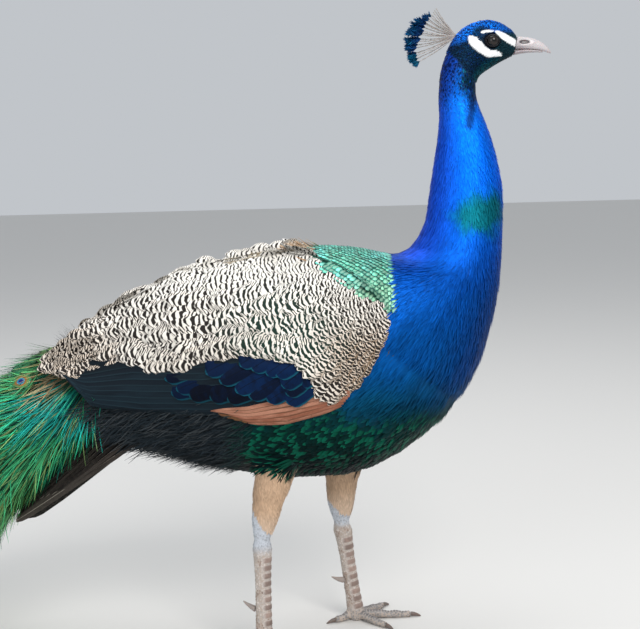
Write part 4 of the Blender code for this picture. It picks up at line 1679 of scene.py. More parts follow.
    def train(self, points: Array, chance: Array) -> tuple[Array, Array]:
        """Emerald, teal and gold-green barbs with bronze ones among them.

        Args:
            points: Places in the frame.
            chance: A random number from 0 to 1 for each.

        Returns:
            The root colours and the tip colours.
        """
        tip = np.tile((0.045, 0.520, 0.230), (len(points), 1))
        clouds = cloudy(points, 0.045, 31)
        tip = blend(tip, (0.012, 0.480, 0.440), smoothstep(0.54, 0.72, clouds) * 0.9)
        tip = blend(tip, (0.190, 0.600, 0.200), smoothstep(0.48, 0.30, clouds) * 0.8)
        tip = blend(tip, (0.330, 0.450, 0.150), (chance > 0.84) * 0.8)
        tip = blend(tip, (0.004, 0.040, 0.028), (chance < 0.16) * 0.85)
        tip = tip * (0.45 + 0.85 * np.mod(chance * 7.3, 1.0))[:, None]
        tan = smoothstep(0.024, 0.014, np.linalg.norm((points - STANCE)[:, [0, 2]] - np.array((-0.345, 0.396)), axis=1))
        tip = blend(tip, (0.420, 0.290, 0.150), tan * (chance > 0.35) * 0.9)
        # The dark roots are painted shade between the barbs.
        return tip * 0.22, tip


PLUMAGE = Plumage()
BARE_LEG = (0.44, 0.37, 0.32)
BARE_HOCK = (0.50, 0.53, 0.58)
WING_SKIN = (0.42, 0.36, 0.27)


def mantle_edge(x: Array) -> Array:
    """The lower edge of the green mantle, as z at these x from the stance point."""
    return height_on(((-0.020, 0.566), (-0.012, 0.553), (0.017, 0.526), (0.034, 0.514), (0.053, 0.501), (0.087, 0.482),
                      (0.110, 0.478)), x)


def sock_edge(own: Array) -> Array:
    """The lower edge of the thigh's feathers, as z: higher behind the leg than in front of it.

    Args:
        own: Places from the stance point.

    Returns:
        The z of the edge at each.
    """
    right = height_on(((-0.1000, 0.2080), (-0.0860, 0.1790), (-0.0710, 0.1660)), own[:, 0])
    left = height_on(((0.0060, 0.1830), (0.0220, 0.1640), (0.0390, 0.1570)), own[:, 0])
    return np.where(own[:, 1] < 0, right, left)


@dataclass
class Skin:
    """One skin over the head, neck, body, wings' upper parts, thighs, shanks and toes."""

    voxel: float = 0.0034
    swell: float = 0.0008
    depths: dict[str, float] = field(default_factory=lambda: {
        "head": 0.0010, "neck_upper": 0.0004, "neck_lower": 0.0006, "breast": 0.0012, "trunk": 0.0060,
        "wing_coverts_left": 0.0060, "wing_coverts_right": 0.0060, "thigh_left": 0.0022, "thigh_right": 0.0022,
    })
    legs: tuple[str, ...] = tuple(
        f"{part}_{side.word}{toe}" for side in SIDES for part, toes in
        (("tarsus", ("",)), ("toe", ("_middle", "_inner", "_outer", "_hallux"))) for toe in toes
    )

    def _refined(self, mesh: bpy.types.Mesh) -> bpy.types.Mesh:
        """The largest piece of the mesh, with finer faces on the head and feet, and finest round the eyes.

        Args:
            mesh: The smooth copy of the nodes.

        Returns:
            The refined mesh.
        """
        shape = bmesh.new()
        shape.from_mesh(mesh)
        shape.verts.ensure_lookup_table()
        seen: set[int] = set()
        best: list[bmesh.types.BMVert] = []
        for start in shape.verts:
            if start.index in seen:
                continue
            seen.add(start.index)
            island = [start]
            for vertex in island:
                for edge in vertex.link_edges:
                    other = edge.other_vert(vertex)
                    if other.index not in seen:
                        seen.add(other.index)
                        island.append(other)
            if len(island) > len(best):
                best = island
        kept = set(best)
        bmesh.ops.delete(shape, geom=[vertex for vertex in shape.verts if vertex not in kept], context="VERTS")
        head_low = EYE[2] - 0.050
        shank_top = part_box("tarsus_left")[1].z - 0.004

        def split(chosen: Callable[[Vector], bool]) -> None:
            """Cuts the edges between chosen vertices in two."""
            edges = [edge for edge in shape.edges if all(chosen(vertex.co) for vertex in edge.verts)]
            bmesh.ops.subdivide_edges(shape, edges=edges, cuts=1, use_grid_fill=True)

        split(lambda co: co.z > head_low and co.x > EYE[0] - 0.060)
        split(lambda co: co.z < shank_top)
        split(lambda co: math.hypot(co.x - EYE[0], co.z - EYE[2]) < 0.0125)
        refined = bpy.data.meshes.new("bird_skin")
        bmesh.ops.triangulate(shape, faces=[face for face in shape.faces if len(face.verts) > 4])
        shape.to_mesh(refined)
        shape.free()
        return refined

    def _average(self, values: Array, rounds: int, weight: Array | float = 0.5) -> Array:
        """Values of the vertices mixed with their neighbours' a number of times.

        Args:
            values: One number or row for each vertex.
            rounds: How many times.
            weight: The neighbours' share each time, for all or for each vertex.

        Returns:
            The mixed values, always in rows.
        """
        first, second = self.edges.T
        count = np.bincount(self.edges.ravel(), minlength=len(values))
        count = np.maximum(count, 1)[:, None]
        values = values.reshape(len(values), -1).copy()
        if np.ndim(weight):
            weight = np.broadcast_to(np.asarray(weight, float).reshape(-1, 1), (len(values), 1))
        for _ in range(rounds):
            total = np.stack([
                np.bincount(first, values[second, k], len(values)) + np.bincount(second, values[first, k], len(values))
                for k in range(values.shape[1])], 1)
            values += weight * (total / count - values)
        return values

    def _lids(self, points: Array) -> Array:
        """Points of the head round the eyes, moved so that lids lie on the eyeballs.

        Args:
            points: The skin's vertices.

        Returns:
            The vertices with the lids in place.
        """
        moved = points.copy()
        for side in SIDES:
            near = (points[:, 1] * side.value > 0.004) & (FACE.opening(points) < 2.2) & (points[:, 2] > EYE[2] - 0.03)
            own = points[near]
            out = FACE.opening(own)
            flat = own[:, [0, 2]] - EYE[[0, 2]]
            ball = abs(EYE[1]) + np.sqrt(np.maximum(EYE_RADIUS**2 - (flat**2).sum(axis=1), 0.0))
            lid = ball + 0.0006 + 0.0005 * np.exp(-(((out - 1.12) / 0.10) ** 2))
            outside = own[:, 1] * side.value
            share = smoothstep(1.12, 1.60, out)
            level = np.where(out < 0.97, ball - 0.0030, lid * (1 - share) + outside * share)
            level = np.where(out < 0.97, level, np.maximum(level, np.where(out < 1.3, lid, 0)))
            moved[near, 1] = level * side.value
        return moved

    def build(self) -> bpy.types.Object:
        """Makes the skin.

        Returns:
            The skin's object, with its colours.
        """
        self.names = (*self.depths, *self.legs)
        mesh = self._refined(smooth_copy(self.names, self.voxel, self.swell, 0))
        points = points_of(mesh)
        self.edges = np.array([edge.vertices[:] for edge in mesh.edges])
        sources, owners, offset = [], [], 0
        vertices: list[Array] = []
        for number, name in enumerate(self.names):
            copy = node_mesh(name)
            triangles = triangles_of(copy)
            sources.append(triangles + offset)
            owners.append(np.full(len(triangles), number))
            vertices.append(points_of(copy))
            offset += len(copy.vertices)
        tree = search_tree(np.concatenate(vertices), np.concatenate(sources))
        owners = np.concatenate(owners)
        found = [tree.find_nearest(point) for point in points.tolist()]
        self.region = owners[[hit[2] for hit in found]]
        legs = np.isin(self.region, [self.names.index(name) for name in self.legs])
        fine = legs | (self.region == self.names.index("head"))
        surface = np.array([hit[0] for hit in found])
        # The fine parts go back to the frame's own surface before they are smoothed.
        points = np.where(fine[:, None], surface * 0.85 + points * 0.15, points)
        points = self._average(points, 6, np.where(legs, 0.25, 0.5))
        depth = np.array([self.depths.get(name, 0.0) for name in self.names])[self.region]
        depth[points[:, 0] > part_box("bill_upper")[0].x - 0.006] = 0.0
        depth *= 1 - 0.9 * smoothstep(0.33, 0.27, points[:, 2]) * (points[:, 2] > 0.22)
        along, high = points[:, 0] - STANCE[0], points[:, 2]
        body = (high > 0.22) & ~fine
        fore = body * smoothstep(0.285, 0.325, high)
        depth -= 0.0022 * smoothstep(0.43, 0.39, high) * smoothstep(0.06, 0.12, along) * fore
        depth -= 0.0022 * smoothstep(0.375, 0.345, high) * smoothstep(0.05, 0.10, along) * fore
        depth -= (0.0105 * smoothstep(-0.14, -0.20, along) * smoothstep(-0.33, -0.29, along)
                  * smoothstep(0.44, 0.47, high) * body)
        depth += (0.0030 * smoothstep(-0.13, -0.10, along) * smoothstep(-0.02, -0.05, along)
                  * smoothstep(0.48, 0.51, high) * body)
        depth = self._average(np.maximum(depth, 0.0), 10)[:, 0]
        move_to(mesh, points)
        inward = depth + np.where(legs, -0.0002, np.where(fine, 0.0, self.swell))
        points = points - self._average(normals_of(mesh), 2) * inward[:, None]
        points = self._lids(points)
        points[:, 2] = np.maximum(points[:, 2], 0.0002)
        move_to(mesh, points)
        shade_smooth(mesh)
        self.mesh, self.points, self.normals = mesh, points, normals_of(mesh)
        paint(mesh, self._colours())
        self.object = add_object("bird_skin", mesh)
        dress(self.object, SkinFinish().material())
        return self.object

    def normal_at(self, triangle: int) -> Array:
        """The unit normal at one corner of a triangle of the skin."""
        return self.normals[self.mesh.loop_triangles[triangle].vertices[0]]

    def is_region(self, *starts: str) -> Array:
        """Which vertices lie nearest to nodes whose names start so."""
        wanted = [number for number, name in enumerate(self.names) if name.startswith(starts)]
        return np.isin(self.region, wanted)

    def _colours(self) -> Array:
        """One colour for each vertex, by the plumage over it.

        Returns:
            One row of red, green and blue for each vertex.
        """
        points, own = self.points, self.points - STANCE
        chance = np.full(len(points), 0.5)
        colours = np.tile(BARE_LEG, (len(points), 1)).astype(float)
        shank = self.is_region("tarsus")
        hock = shank & (own[:, 2] > 0.135)
        colours[hock] = blend(colours[hock], BARE_HOCK, smoothstep(0.140, 0.158, own[hock, 2]))
        for starts, rule in ((("head",), PLUMAGE.head), (("neck", "breast", "trunk"), PLUMAGE.neck),
                             (("thigh",), PLUMAGE.thigh)):
            own_region = self.is_region(*starts)
            root, tip = rule(points[own_region], chance[own_region])
            # The skin under the feathers takes mostly the darker root colour, painted shade between the plumes.
            colours[own_region] = root * 0.6 + tip * 0.4
        bare_leg = self.is_region("thigh") & (own[:, 2] < sock_edge(own) + 0.002)
        colours[bare_leg] = BARE_HOCK
        wing = self.is_region("wing")
        colours[wing] = WING_SKIN
        back = self.is_region("trunk") & (own[:, 2] > 0.40)
        colours[back] = (0.06, 0.07, 0.04)
        vent = self.is_region("trunk") & (own[:, 0] < -0.09) & (own[:, 2] < 0.40)
        colours[vent] = (0.007, 0.006, 0.006)
        green = (self.is_region("wing", "breast", "trunk") & (own[:, 2] > mantle_edge(own[:, 0]) - 0.006)
                 & (own[:, 0] > -0.018))
        colours[green & (own[:, 0] < 0.108)] = (0.03, 0.11, 0.08)
        head = self.is_region("head")
        bare = smoothstep(0.0006, -0.0004, FACE.distance(points)) * head
        colours = blend(colours, WHITE_SKIN, bare)
        lids = smoothstep(1.42, 1.12, FACE.opening(points)) * head
        return blend(colours, LID_GREY, lids)

    def part(self, chosen: Array, share: Array | None = None) -> bpy.types.Mesh:
        """The faces of the skin whose vertices are all chosen, ready for sowing.

        Args:
            chosen: Which vertices.
            share: How densely each vertex's surroundings are sown, from 0 to 1.

        Returns:
            A mesh with share and up attributes.
        """
        return ground_for(self.mesh, self.points, self.normals, chosen, share)


# ---------------------------------------------------------------------------------------------- coats


def lay_roots(points: Array, normals: Array, lie: Array, length: Array | float, width: Array | float, tilt: float,
              tints: Callable[[Array, Array], tuple[Array, Array]], seed: int, spread: float = 0.12,
              kinds: int = 1, roll: float = 0.10, uneven: float = 0.15) -> Roots:
    """Roots with sizes, colours and a little disorder.

    Args:
        points: The places of the roots.
        normals: The surface's unit normals there.
        lie: The way the plumes point.
        length: The plumes' lengths.
        width: Their widths.
        tilt: How far they stand up from the surface, in radians.
        tints: Gives root and tip colours from places and chances.
        seed: Fixes the disorder.
        spread: How far the plumes point off the lie, in radians.
        kinds: How many shapes there are to pick from.
        roll: How far they are turned about their own length, in radians.
        uneven: How far their sizes differ.

    Returns:
        The roots.
    """
    dice = np.random.default_rng(seed)
    count = len(points)
    chance = dice.random(count)
    turn = dice.normal(0, spread, count)[:, None]
    lie = lie - normals * (lie * normals).sum(axis=1, keepdims=True)
    lie = unit(lie)
    lie = lie * np.cos(turn) + np.cross(normals, lie) * np.sin(turn)
    scale = 1 + dice.uniform(-uneven, uneven, count)
    length, width = np.broadcast_to(length, count) * scale, np.broadcast_to(width, count) * scale
    root_tint, tip_tint = tints(points, chance)
    tilts, rolls = np.abs(dice.normal(tilt, tilt * 0.2, count)), dice.normal(0, roll, count)
    return Roots(points, normals, lie, np.stack([length, width, width], 1), tilts, rolls, root_tint, tip_tint, chance,
                 dice.integers(0, kinds, count))


@dataclass
class BodyCoats:
    """The short feathers of the head, neck, breast, belly, vent and thighs."""

    skin: Skin
    head_spacing: float = 0.00125
    neck_spacing: float = 0.0018
    breast_spacing: float = 0.0021
    belly_spacing: float = 0.0024
    belly_scale_spacing: float = 0.0038
    vent_spacing: float = 0.0021
    thigh_spacing: float = 0.0017

    def __post_init__(self) -> None:
        """Makes the shapes and finishes that the coats share."""
        self.locks = PlumeSet("locks", Plume(Outline.STRAND, 1, 0.0, 0.3, 0.5),
                              Plume(Outline.STRAND, 1, 0.0, 0.1, -0.5),
                              Plume(Outline.STRAND, 1, 0.0, 0.0, 0.1))
        self.scales = PlumeSet("small_scales", Plume(Outline.SCALE, 2, 0.18, 0.1))
        self.belly_scales = PlumeSet("belly_scales", Plume(Outline.SCALE, 3, 0.10, 0.05))
        self.strands = PlumeSet("loose_strands", Plume(Outline.STRAND, 1, 0.0, 1.2, 0.5),
                                Plume(Outline.STRAND, 1, 0.0, 0.6, -0.6),
                                Plume(Outline.STRAND, 1, 0.0, -0.8, 0.2))
        self.silk = PlumeFinish("silky_blue_feather", metallic=0.80, roughness=0.50, streaks=0.15, variety=0.15,
                                relief=0.15)
        self.crown = PlumeFinish("crown_feather", metallic=0.75, roughness=0.45, streaks=0.3, variety=0.5)
        self.soft = PlumeFinish("loose_dark_feather", metallic=0.0, roughness=0.75, streaks=0.4, specular=0.1)
        self.down = PlumeFinish("short_buff_feather", metallic=0.0, roughness=0.80, sheen=0.2, streaks=0.10,
                                variety=0.12, relief=0.15)

    def head(self) -> None:
        """Tiny scale feathers over the head, which leave the face patches, lids and bill bare."""
        skin = self.skin
        points, normals = sow(skin.part(skin.is_region("head")), self.head_spacing, 11, 2.2)
        own = points - STANCE
        bare = (FACE.distance(points) < 0.0005) | (FACE.opening(points) < 1.30)
        bill = own[:, 0] > 0.2655
        points, normals = points[~bare & ~bill], normals[~bare & ~bill]
        own = points - STANCE
        station, share = BODY_LINES.place(own)
        # The lie fans out from the root of the bill and turns into the lie of the body.
        away = unit(own - np.array((0.268, 0.0, 0.815)))
        body = BODY_LINES.lie(station, share)
        late = smoothstep(1.6, 2.8, station)[:, None]
        lie = away * (1 - late) + body * late
        face = smoothstep(2.6, 1.5, FACE.opening(points)) + smoothstep(0.235, 0.255, own[:, 0])
        face = np.clip(face, 0, 1)
        size = 1 - 0.42 * face
        roots = lay_roots(points, normals, lie, 0.0034 * size, 0.0020 * size, 0.24, PLUMAGE.head, 12, 0.14)
        coat = plant("coat_head", roots, self.scales, self.crown.material(), tip_sharpness=1.6)
        settle(coat, "crown_blue")

    def neck(self) -> None:
        """Narrow silky locks down the neck, which grow longer towards its root."""
        skin = self.skin
        for name, region, spacing, lengths, widths, seed in (
            ("coat_neck_upper", "neck_upper", self.neck_spacing, (0.0060, 0.0135), (0.0019, 0.0024), 21),
            ("coat_neck_lower", "neck_lower", self.neck_spacing * 1.12, (0.0135, 0.0180), (0.0025, 0.0030), 22),
        ):
            points, normals = sow(skin.part(skin.is_region(region)), spacing, seed)
            own = points - STANCE
            station, share = BODY_LINES.place(own)
            down = smoothstep(3.6, 6.0, station) if region == "neck_upper" else smoothstep(6.0, 7.5, station)
            roots = lay_roots(points, normals, BODY_LINES.lie(station, share), between(lengths, down),
                              between(widths, down), 0.085, PLUMAGE.neck, seed + 5, 0.07, self.locks.count, roll=0.03)
            roots.size[:, 2] = 0.0022
            # The uppermost are short and scaly, like those of the head.
            short = smoothstep(0.690, 0.745, (points - STANCE)[:, 2])[:, None]
            roots.size = roots.size * (1 - short) + np.array((0.0042, 0.0026, 0.0012)) * short
            coat = plant(name, roots, self.locks, self.silk.material(), tip_sharpness=0.7)
            settle(coat, "cobalt_neck")

    def _seen(self, points: Array) -> Array:
        """Which places aren't hidden under the folded wings.

        Args:
            points: Places in the frame.

        Returns:
            True for each place in view.
        """
        tree = wing_tree(*SIDES)
        seen = []
        for x, y, z in points:
            way = Vector((0.0, math.copysign(1.0, y), 0.0))
            hits = [tree.ray_cast(Vector((x, y, z + rise)), way, 0.035)[0] for rise in (-0.016, 0.004)]
            seen.append(None in hits)
        return np.array(seen)

    def breast(self) -> None:
        """Broader locks over the breast and belly, under the wings' edges and down to the legs."""
        skin = self.skin
        own = skin.points - STANCE
        x, z = own[:, 0], own[:, 2]
        behind = x < -0.115 - 0.25 * (0.30 - z)
        mantle = (z > mantle_edge(x) - 0.004) & (x < 0.103) & (x > -0.020)
        back = (x < -0.012) & (z > 0.44)
        flank = skin.is_region("thigh") & (z > np.where(own[:, 1] < 0, 0.262 - 0.012 * smoothstep(-0.07, -0.04, x),
                                                        0.240))
        ground = skin.is_region("breast", "trunk") & ~mantle & ~back & ~behind | flank
        low = z < 0.352 - 0.30 * np.maximum(0.0, x - 0.05) + 0.014 * (cloudy(skin.points, 0.02, 35) - 0.5)
        for name, half, spacing, lengths, widths, seed, slot in (
            ("coat_breast", (x > 0.055) & ~low, self.breast_spacing, (0.017, 0.021), (0.0023, 0.0027), 31,
             "breast_blue"),
            ("coat_flank", (x < 0.058) & ~low | flank, self.belly_spacing, (0.020, 0.024), (0.0027, 0.0034), 37,
             "breast_blue"),
            ("coat_belly", low & ~flank, self.belly_scale_spacing, (0.0150, 0.0150), (0.0072, 0.0072), 33,
             "belly_green"),
        ):
            scaly = slot == "belly_green"
            points, normals = sow(skin.part(ground & half), spacing, seed)
            seen = self._seen(points)
            points, normals = points[seen], normals[seen]
            place = points - STANCE
            station, share = BODY_LINES.place(place)
            down = smoothstep(0.50, 0.35, place[:, 2])
            lie = BODY_LINES.lie(station, share)
            hangs = (smoothstep(0.275, 0.255, place[:, 2]) * (np.abs(place[:, 1]) > 0.03))[:, None]
            lie = lie * (1 - hangs) + np.array((-0.5, 0.0, -0.85)) * hangs
            roots = lay_roots(points, normals, lie, between(lengths, down), between(widths, down),
                              0.13 if scaly else 0.10, PLUMAGE.neck, seed + 1, 0.09, 1 if scaly else self.locks.count,
                              roll=0.03)
            roots.size[:, 2] = 0.0072 if scaly else 0.0028
            roots.size *= 1 - 0.4 * hangs * (np.abs(place[:, 1:2]) > 0.04) * (not scaly)
            settle(plant(name, roots, self.belly_scales if scaly else self.locks, self.silk.material(),
                         tip_sharpness=1.6 if scaly else 0.7), slot)

    def vent(self) -> None:
        """Loose dark strands from behind the legs to the root of the tail."""
        skin = self.skin
        own = skin.points - STANCE
        ground = skin.is_region("trunk") & (own[:, 2] < 0.405) & (own[:, 0] < -0.090 - 0.25 * (0.30 - own[:, 2]))
        points, normals = sow(skin.part(ground), self.vent_spacing, 41)
        seen = self._seen(points)
        points, normals = points[seen], normals[seen]
        own = points - STANCE
        station, share = BODY_LINES.place(own)
        rear = smoothstep(-0.17, -0.25, own[:, 0])
        lie = BODY_LINES.lie(station, share) + np.array((0, 0, -0.25)) * (1 - rear)[:, None]
        lie = lie + np.array((-0.2, 0.0, -0.5)) * rear[:, None]
        length = 0.026 + 0.006 * smoothstep(0.33, 0.26, own[:, 2]) + 0.032 * rear
        roots = lay_roots(points, normals, lie, length, 0.0015, 0.17, PLUMAGE.vent, 42, 0.28, self.strands.count,
                          uneven=0.35)
        roots.size[:, 2] = 0.0060
        settle(plant("coat_vent", roots, self.strands, self.soft.material()), "belly_green")

    def thighs(self) -> None:
        """Short buff feathers down to the hocks."""
        skin = self.skin
        for number, side in enumerate(SIDES):
            points, normals = sow(skin.part(skin.is_region(f"thigh_{side.word}")), self.thigh_spacing, 51 + number)
            own = points - STANCE
            upper_edge = np.where(own[:, 1] < 0, 0.266 - 0.014 * smoothstep(-0.07, -0.04, own[:, 0]), 0.246)
            clad = (own[:, 2] > sock_edge(own) + 0.0055) & (own[:, 2] < upper_edge)
            points, normals, own = points[clad], normals[clad], own[clad]
            lie = np.tile((0.04, 0.0, -1.0), (len(points), 1)) + normals * 0.02
            roots = lay_roots(points, normals, lie, 0.0070, 0.0022, 0.11, PLUMAGE.thigh, 53 + number, 0.14,
                              self.locks.count)
            roots.size[:, 2] = 0.0015
            settle(plant(f"coat_thigh_{side.word}", roots, self.locks, self.down.material()), "thigh_buff")


@dataclass
class BackCoats:
    """The mantle's scale feathers and the barred feathers of the back and wings."""

    skin: Skin
    row_step: float = 0.0043
    scale_step: float = 0.0056
    barred_spacing: float = 0.0066

    def __post_init__(self) -> None:
        """Makes the shapes that the coats share."""
        self.scales = PlumeSet("mantle_scales", Plume(Outline.SCALE, 4, 0.07, 0.04))
        self.broad = PlumeSet("broad_feathers", Plume(Outline.BROAD, 6, 0.12, 0.02),
                              Plume(Outline.BROAD, 6, 0.10, 0.05, 0.02),
                              Plume(Outline.BROAD, 6, 0.12, 0.0, -0.02))
        self.tree = search_tree(self.skin.points, triangles_of(self.skin.mesh))

    def mantle(self) -> None:
        """Rows of scale feathers over the upper back, and larger bronze ones on the rump."""
        places, ups, rows = [], [], []
        x, number = 0.099, 0
        while x > -0.345:
            behind = float(smoothstep(-0.20, -0.30, x))
            step = self.row_step * (1 + 0.8 * behind)
            across = self.scale_step * (1 + 0.9 * behind)
            radius = 0.085 - 0.02 * behind
            count = int(1.45 * radius / across)
            for column in range(-count, count + 1):
                angle = (column + 0.5 * (number % 2)) * across / radius
                start = Vector((x + STANCE[0], 0.0, 0.462 - 0.20 * max(0.0, -0.20 - x) * 2.0))
                hit, _, index, _ = self.tree.ray_cast(start, Vector((0, math.sin(angle), math.cos(angle))))
                if hit is not None:
                    places.append(hit)
                    ups.append(self.skin.normal_at(index))
                    rows.append(behind)
            x -= step
            number += 1
        points, normals, rear = np.array(places), unit(np.array(ups)), np.array(rows)
        own = points - STANCE
        front = (own[:, 2] > mantle_edge(own[:, 0]) - 0.003) & (own[:, 0] > -0.016)
        rump = (own[:, 0] < -0.292) & (np.abs(own[:, 1]) < 0.030)
        wanted = front | rump
        points, normals, rear, own = points[wanted], normals[wanted], rear[wanted], own[wanted]
        station, share = BODY_LINES.place(own)
        lie = BODY_LINES.lie(station, np.clip(share, 0.6, 1.0)) + np.array((0, 0, -0.10))
        lie[:, 2] -= np.abs(own[:, 1]) * 3.0 * (own[:, 0] > -0.1)
        size = 1 + 0.9 * rear
        roots = lay_roots(points, normals, lie, 0.0094 * size, 0.0075 * size, 0.15, PLUMAGE.mantle, 61, 0.07, roll=0.05,
                          uneven=0.10)
        finish = ScaleFinish("mantle_scale", edge=(0.012, 0.100, 0.085), heart=(0.50, 0.76, 0.58), metallic=0.40)
        settle(plant("coat_mantle", roots, self.scales, finish.material(), 0.010), "train_green")

    def _barred_size(self, own: Array) -> tuple[Array, Array, Array, Array, Array]:
        """Length, width, bar period, nature and share of ink of the barred feathers by place.

        Args:
            own: Places from the stance point.

        Returns:
            Five arrays in that order, the nature with three columns.
        """
        x, z = own[:, 0], own[:, 2]
        corner = smoothstep(-0.02, 0.05, x) * smoothstep(0.49, 0.43, z)
        shoulder = smoothstep(-0.05, 0.06, x)
        tail = smoothstep(-0.20, -0.31, x) * smoothstep(0.485, 0.440, z)
        hem = smoothstep(0.020, 0.006, z - height_on(COVERTS_HEM, x)) * smoothstep(0.02, -0.01, x)
        ridge = smoothstep(0.055, 0.015, np.abs(own[:, 1])) * smoothstep(0.44, 0.47, z) * smoothstep(-0.26, -0.18, x)
        top = smoothstep(0.485, 0.525, z)
        size = 1 - 0.36 * shoulder - 0.18 * corner - 0.30 * tail - 0.20 * hem
        length, width = 0.036 * size * (1 - 0.35 * ridge), 0.0265 * size * (1 - 0.58 * ridge)
        period = (0.0082 * (1 - 0.34 * shoulder) * (1 - 0.26 * top) * (1 - 0.18 * corner) * (1 - 0.20 * tail)
                  * (1 - 0.12 * hem))
        fine = np.clip(0.32 * tail + 0.20 * corner + 0.20 * hem * (1 - tail) + 0.12 * top, 0, 0.95)
        buff = np.clip(0.12 + 0.75 * corner + 0.15 * hem + 0.30 * tail - 0.25 * top, 0, 1)
        green = smoothstep(0.10, 0.03, np.hypot(x + 0.03, (z - 0.455) * 1.4)) * 0.9
        ink = -0.34 * top + 0.26 * corner + 0.22 * tail - 0.05 + 0.12 * shoulder + 0.10 * hem
        return length, width, period, np.stack([fine, buff, green], 1), ink

    def _wing_lie(self, own: Array) -> Array:
        """The way the wing's feathers point.

        Args:
            own: Places from the stance point.

        Returns:
            Unit vectors.
        """
        x, z = own[:, 0], own[:, 2]
        drop = smoothstep(-0.10, 0.07, x) * smoothstep(0.53, 0.40, z)
        slope = 0.08 + 1.25 * drop - 0.10 * smoothstep(0.50, 0.56, z) + 0.22 * smoothstep(-0.15, -0.33, x)
        return unit(np.stack([-np.ones(len(own)), np.zeros(len(own)), -slope], 1))

    def _hem(self, side: Side) -> tuple[Array, Array]:
        """Roots of the row of feathers along the lower edge of the barred coverts, and round the tip of the wing.

        Args:
            side: The wing's side.

        Returns:
            The places and unit normals of the roots.
        """
        places, ups = [], []
        x = -0.352
        spots = []
        while x < 0.004:
            # The feathers point backwards, so each root lies ahead of the edge that it makes.
            hem = float(height_on(COVERTS_HEM, np.array(x)))
            spots += [(x + 0.018, hem + 0.016), (x + 0.018, hem + 0.008)]
            x += 0.0075
        spots += [(-0.350, 0.412), (-0.346, 0.423), (-0.338, 0.430), (-0.326, 0.440), (-0.314, 0.449), (-0.345, 0.411),
                  (-0.335, 0.418), (-0.322, 0.424), (-0.316, 0.432), (-0.328, 0.416), (-0.310, 0.420), (-0.306, 0.440),
                  (-0.318, 0.438), (-0.300, 0.430), (-0.333, 0.409), (-0.321, 0.411), (-0.337, 0.424), (-0.329, 0.431),
                  (-0.308, 0.413), (-0.298, 0.421), (-0.292, 0.414), (-0.284, 0.418), (-0.276, 0.422), (-0.268, 0.426),
                  (-0.285, 0.425)]
        tree = wing_tree(side)
        for x, z in spots:
            start, way = side.ray(x, z, 0.3)
            hits = [hit for hit in (self.tree.ray_cast(start, way)[0], tree.ray_cast(start, way)[0]) if hit is not None]
            reach = max((abs(hit.y) - 0.0010 * number for number, hit in enumerate(hits)), default=0.0)
            if reach < 0.02:
                continue
            places.append(Vector((x + STANCE[0], side.value * reach, z)))
            _, _, index, _ = self.tree.find_nearest(places[-1])
            ups.append(self.skin.normal_at(index))
        return np.array(places), unit(np.array(ups) * 0.5 + np.array((0.0, side.value, 0.0)))

    def barred(self) -> None:
        """Barred feathers over the back and the upper part of each wing."""
        skin = self.skin
        own = skin.points - STANCE
        x, z = own[:, 0], own[:, 2]
        over = z < mantle_edge(x) + 0.003
        back = (skin.is_region("trunk") | skin.is_region("breast")) & (z > 0.44) & (x < -0.012)
        tip = (x < -0.235) & (skin.normals[:, 2] > -0.5)
        chosen = (skin.is_region("wing") | back | tip) & (over | (x < -0.012))
        chosen &= z > height_on(COVERTS_HEM, x) + 0.003
        big = smoothstep(0.03, -0.06, x)
        share = 1.0 - 0.35 * big * smoothstep(0.42, 0.46, z) * smoothstep(0.02, 0.05, np.abs(own[:, 1]))
        finish = BarredFinish().material()
        for number, side in enumerate(SIDES):
            half = chosen & (own[:, 1] * side.value > -0.003)
            points, normals = sow(skin.part(half, share), self.barred_spacing, 71 + number)
            # The small feathers of the front corner stand closer.
            more, more_normals = sow(skin.part(half & (x > 0.022), share), self.barred_spacing * 0.72, 77 + number)
            points, normals = np.vstack([points, more]), np.vstack([normals, more_normals])
            keep = (points - STANCE)[:, 1] * side.value > 0
            edge_points, edge_normals = self._hem(side)
            points, normals = np.vstack([points[keep], edge_points]), np.vstack([normals[keep], edge_normals])
            place = points - STANCE
            inner = np.arange(len(points)) < keep.sum()
            # The lowest lie over the dark quills.
            over_quills = (smoothstep(0.030, 0.010, place[:, 2] - height_on(COVERTS_HEM, place[:, 0]))
                           * smoothstep(0.045, 0.015, place[:, 0]))
            over_quills = np.maximum(over_quills, 0.7 * smoothstep(-0.280, -0.300, place[:, 0]))
            points = points + normals * (0.0055 * over_quills * inner)[:, None]
            length, width, period, nature, ink = self._barred_size(place)
            roots = lay_roots(points, normals, self._wing_lie(place), length, width, 0.115, self._plain, 73 + number,
                              0.08,
                              self.broad.count, roll=0.04)
            roots.size[:, 2] *= 0.8
            roots.tilt *= 1 - 1.20 * smoothstep(0.49, 0.52, place[:, 2])
            dice = np.random.default_rng(75 + number)
            roots.marks["span"] = np.stack([roots.size[:, 0], roots.size[:, 1],
                                            period * dice.uniform(0.85, 1.2, len(points))], 1)
            roots.marks["nature"] = nature
            roots.marks["ink"] = ink + dice.normal(0, 0.05, len(points))
            coat = plant(f"coat_wing_{side.word}", roots, self.broad, finish, 0.018)
            settle(coat, "barred_cream")

    def _plain(self, points: Array, _chance: Array) -> tuple[Array, Array]:
        """One cream for the whole feather, as its finish draws the bars."""
        tint = np.tile((0.75, 0.68, 0.56), (len(points), 1))
        return tint, tint

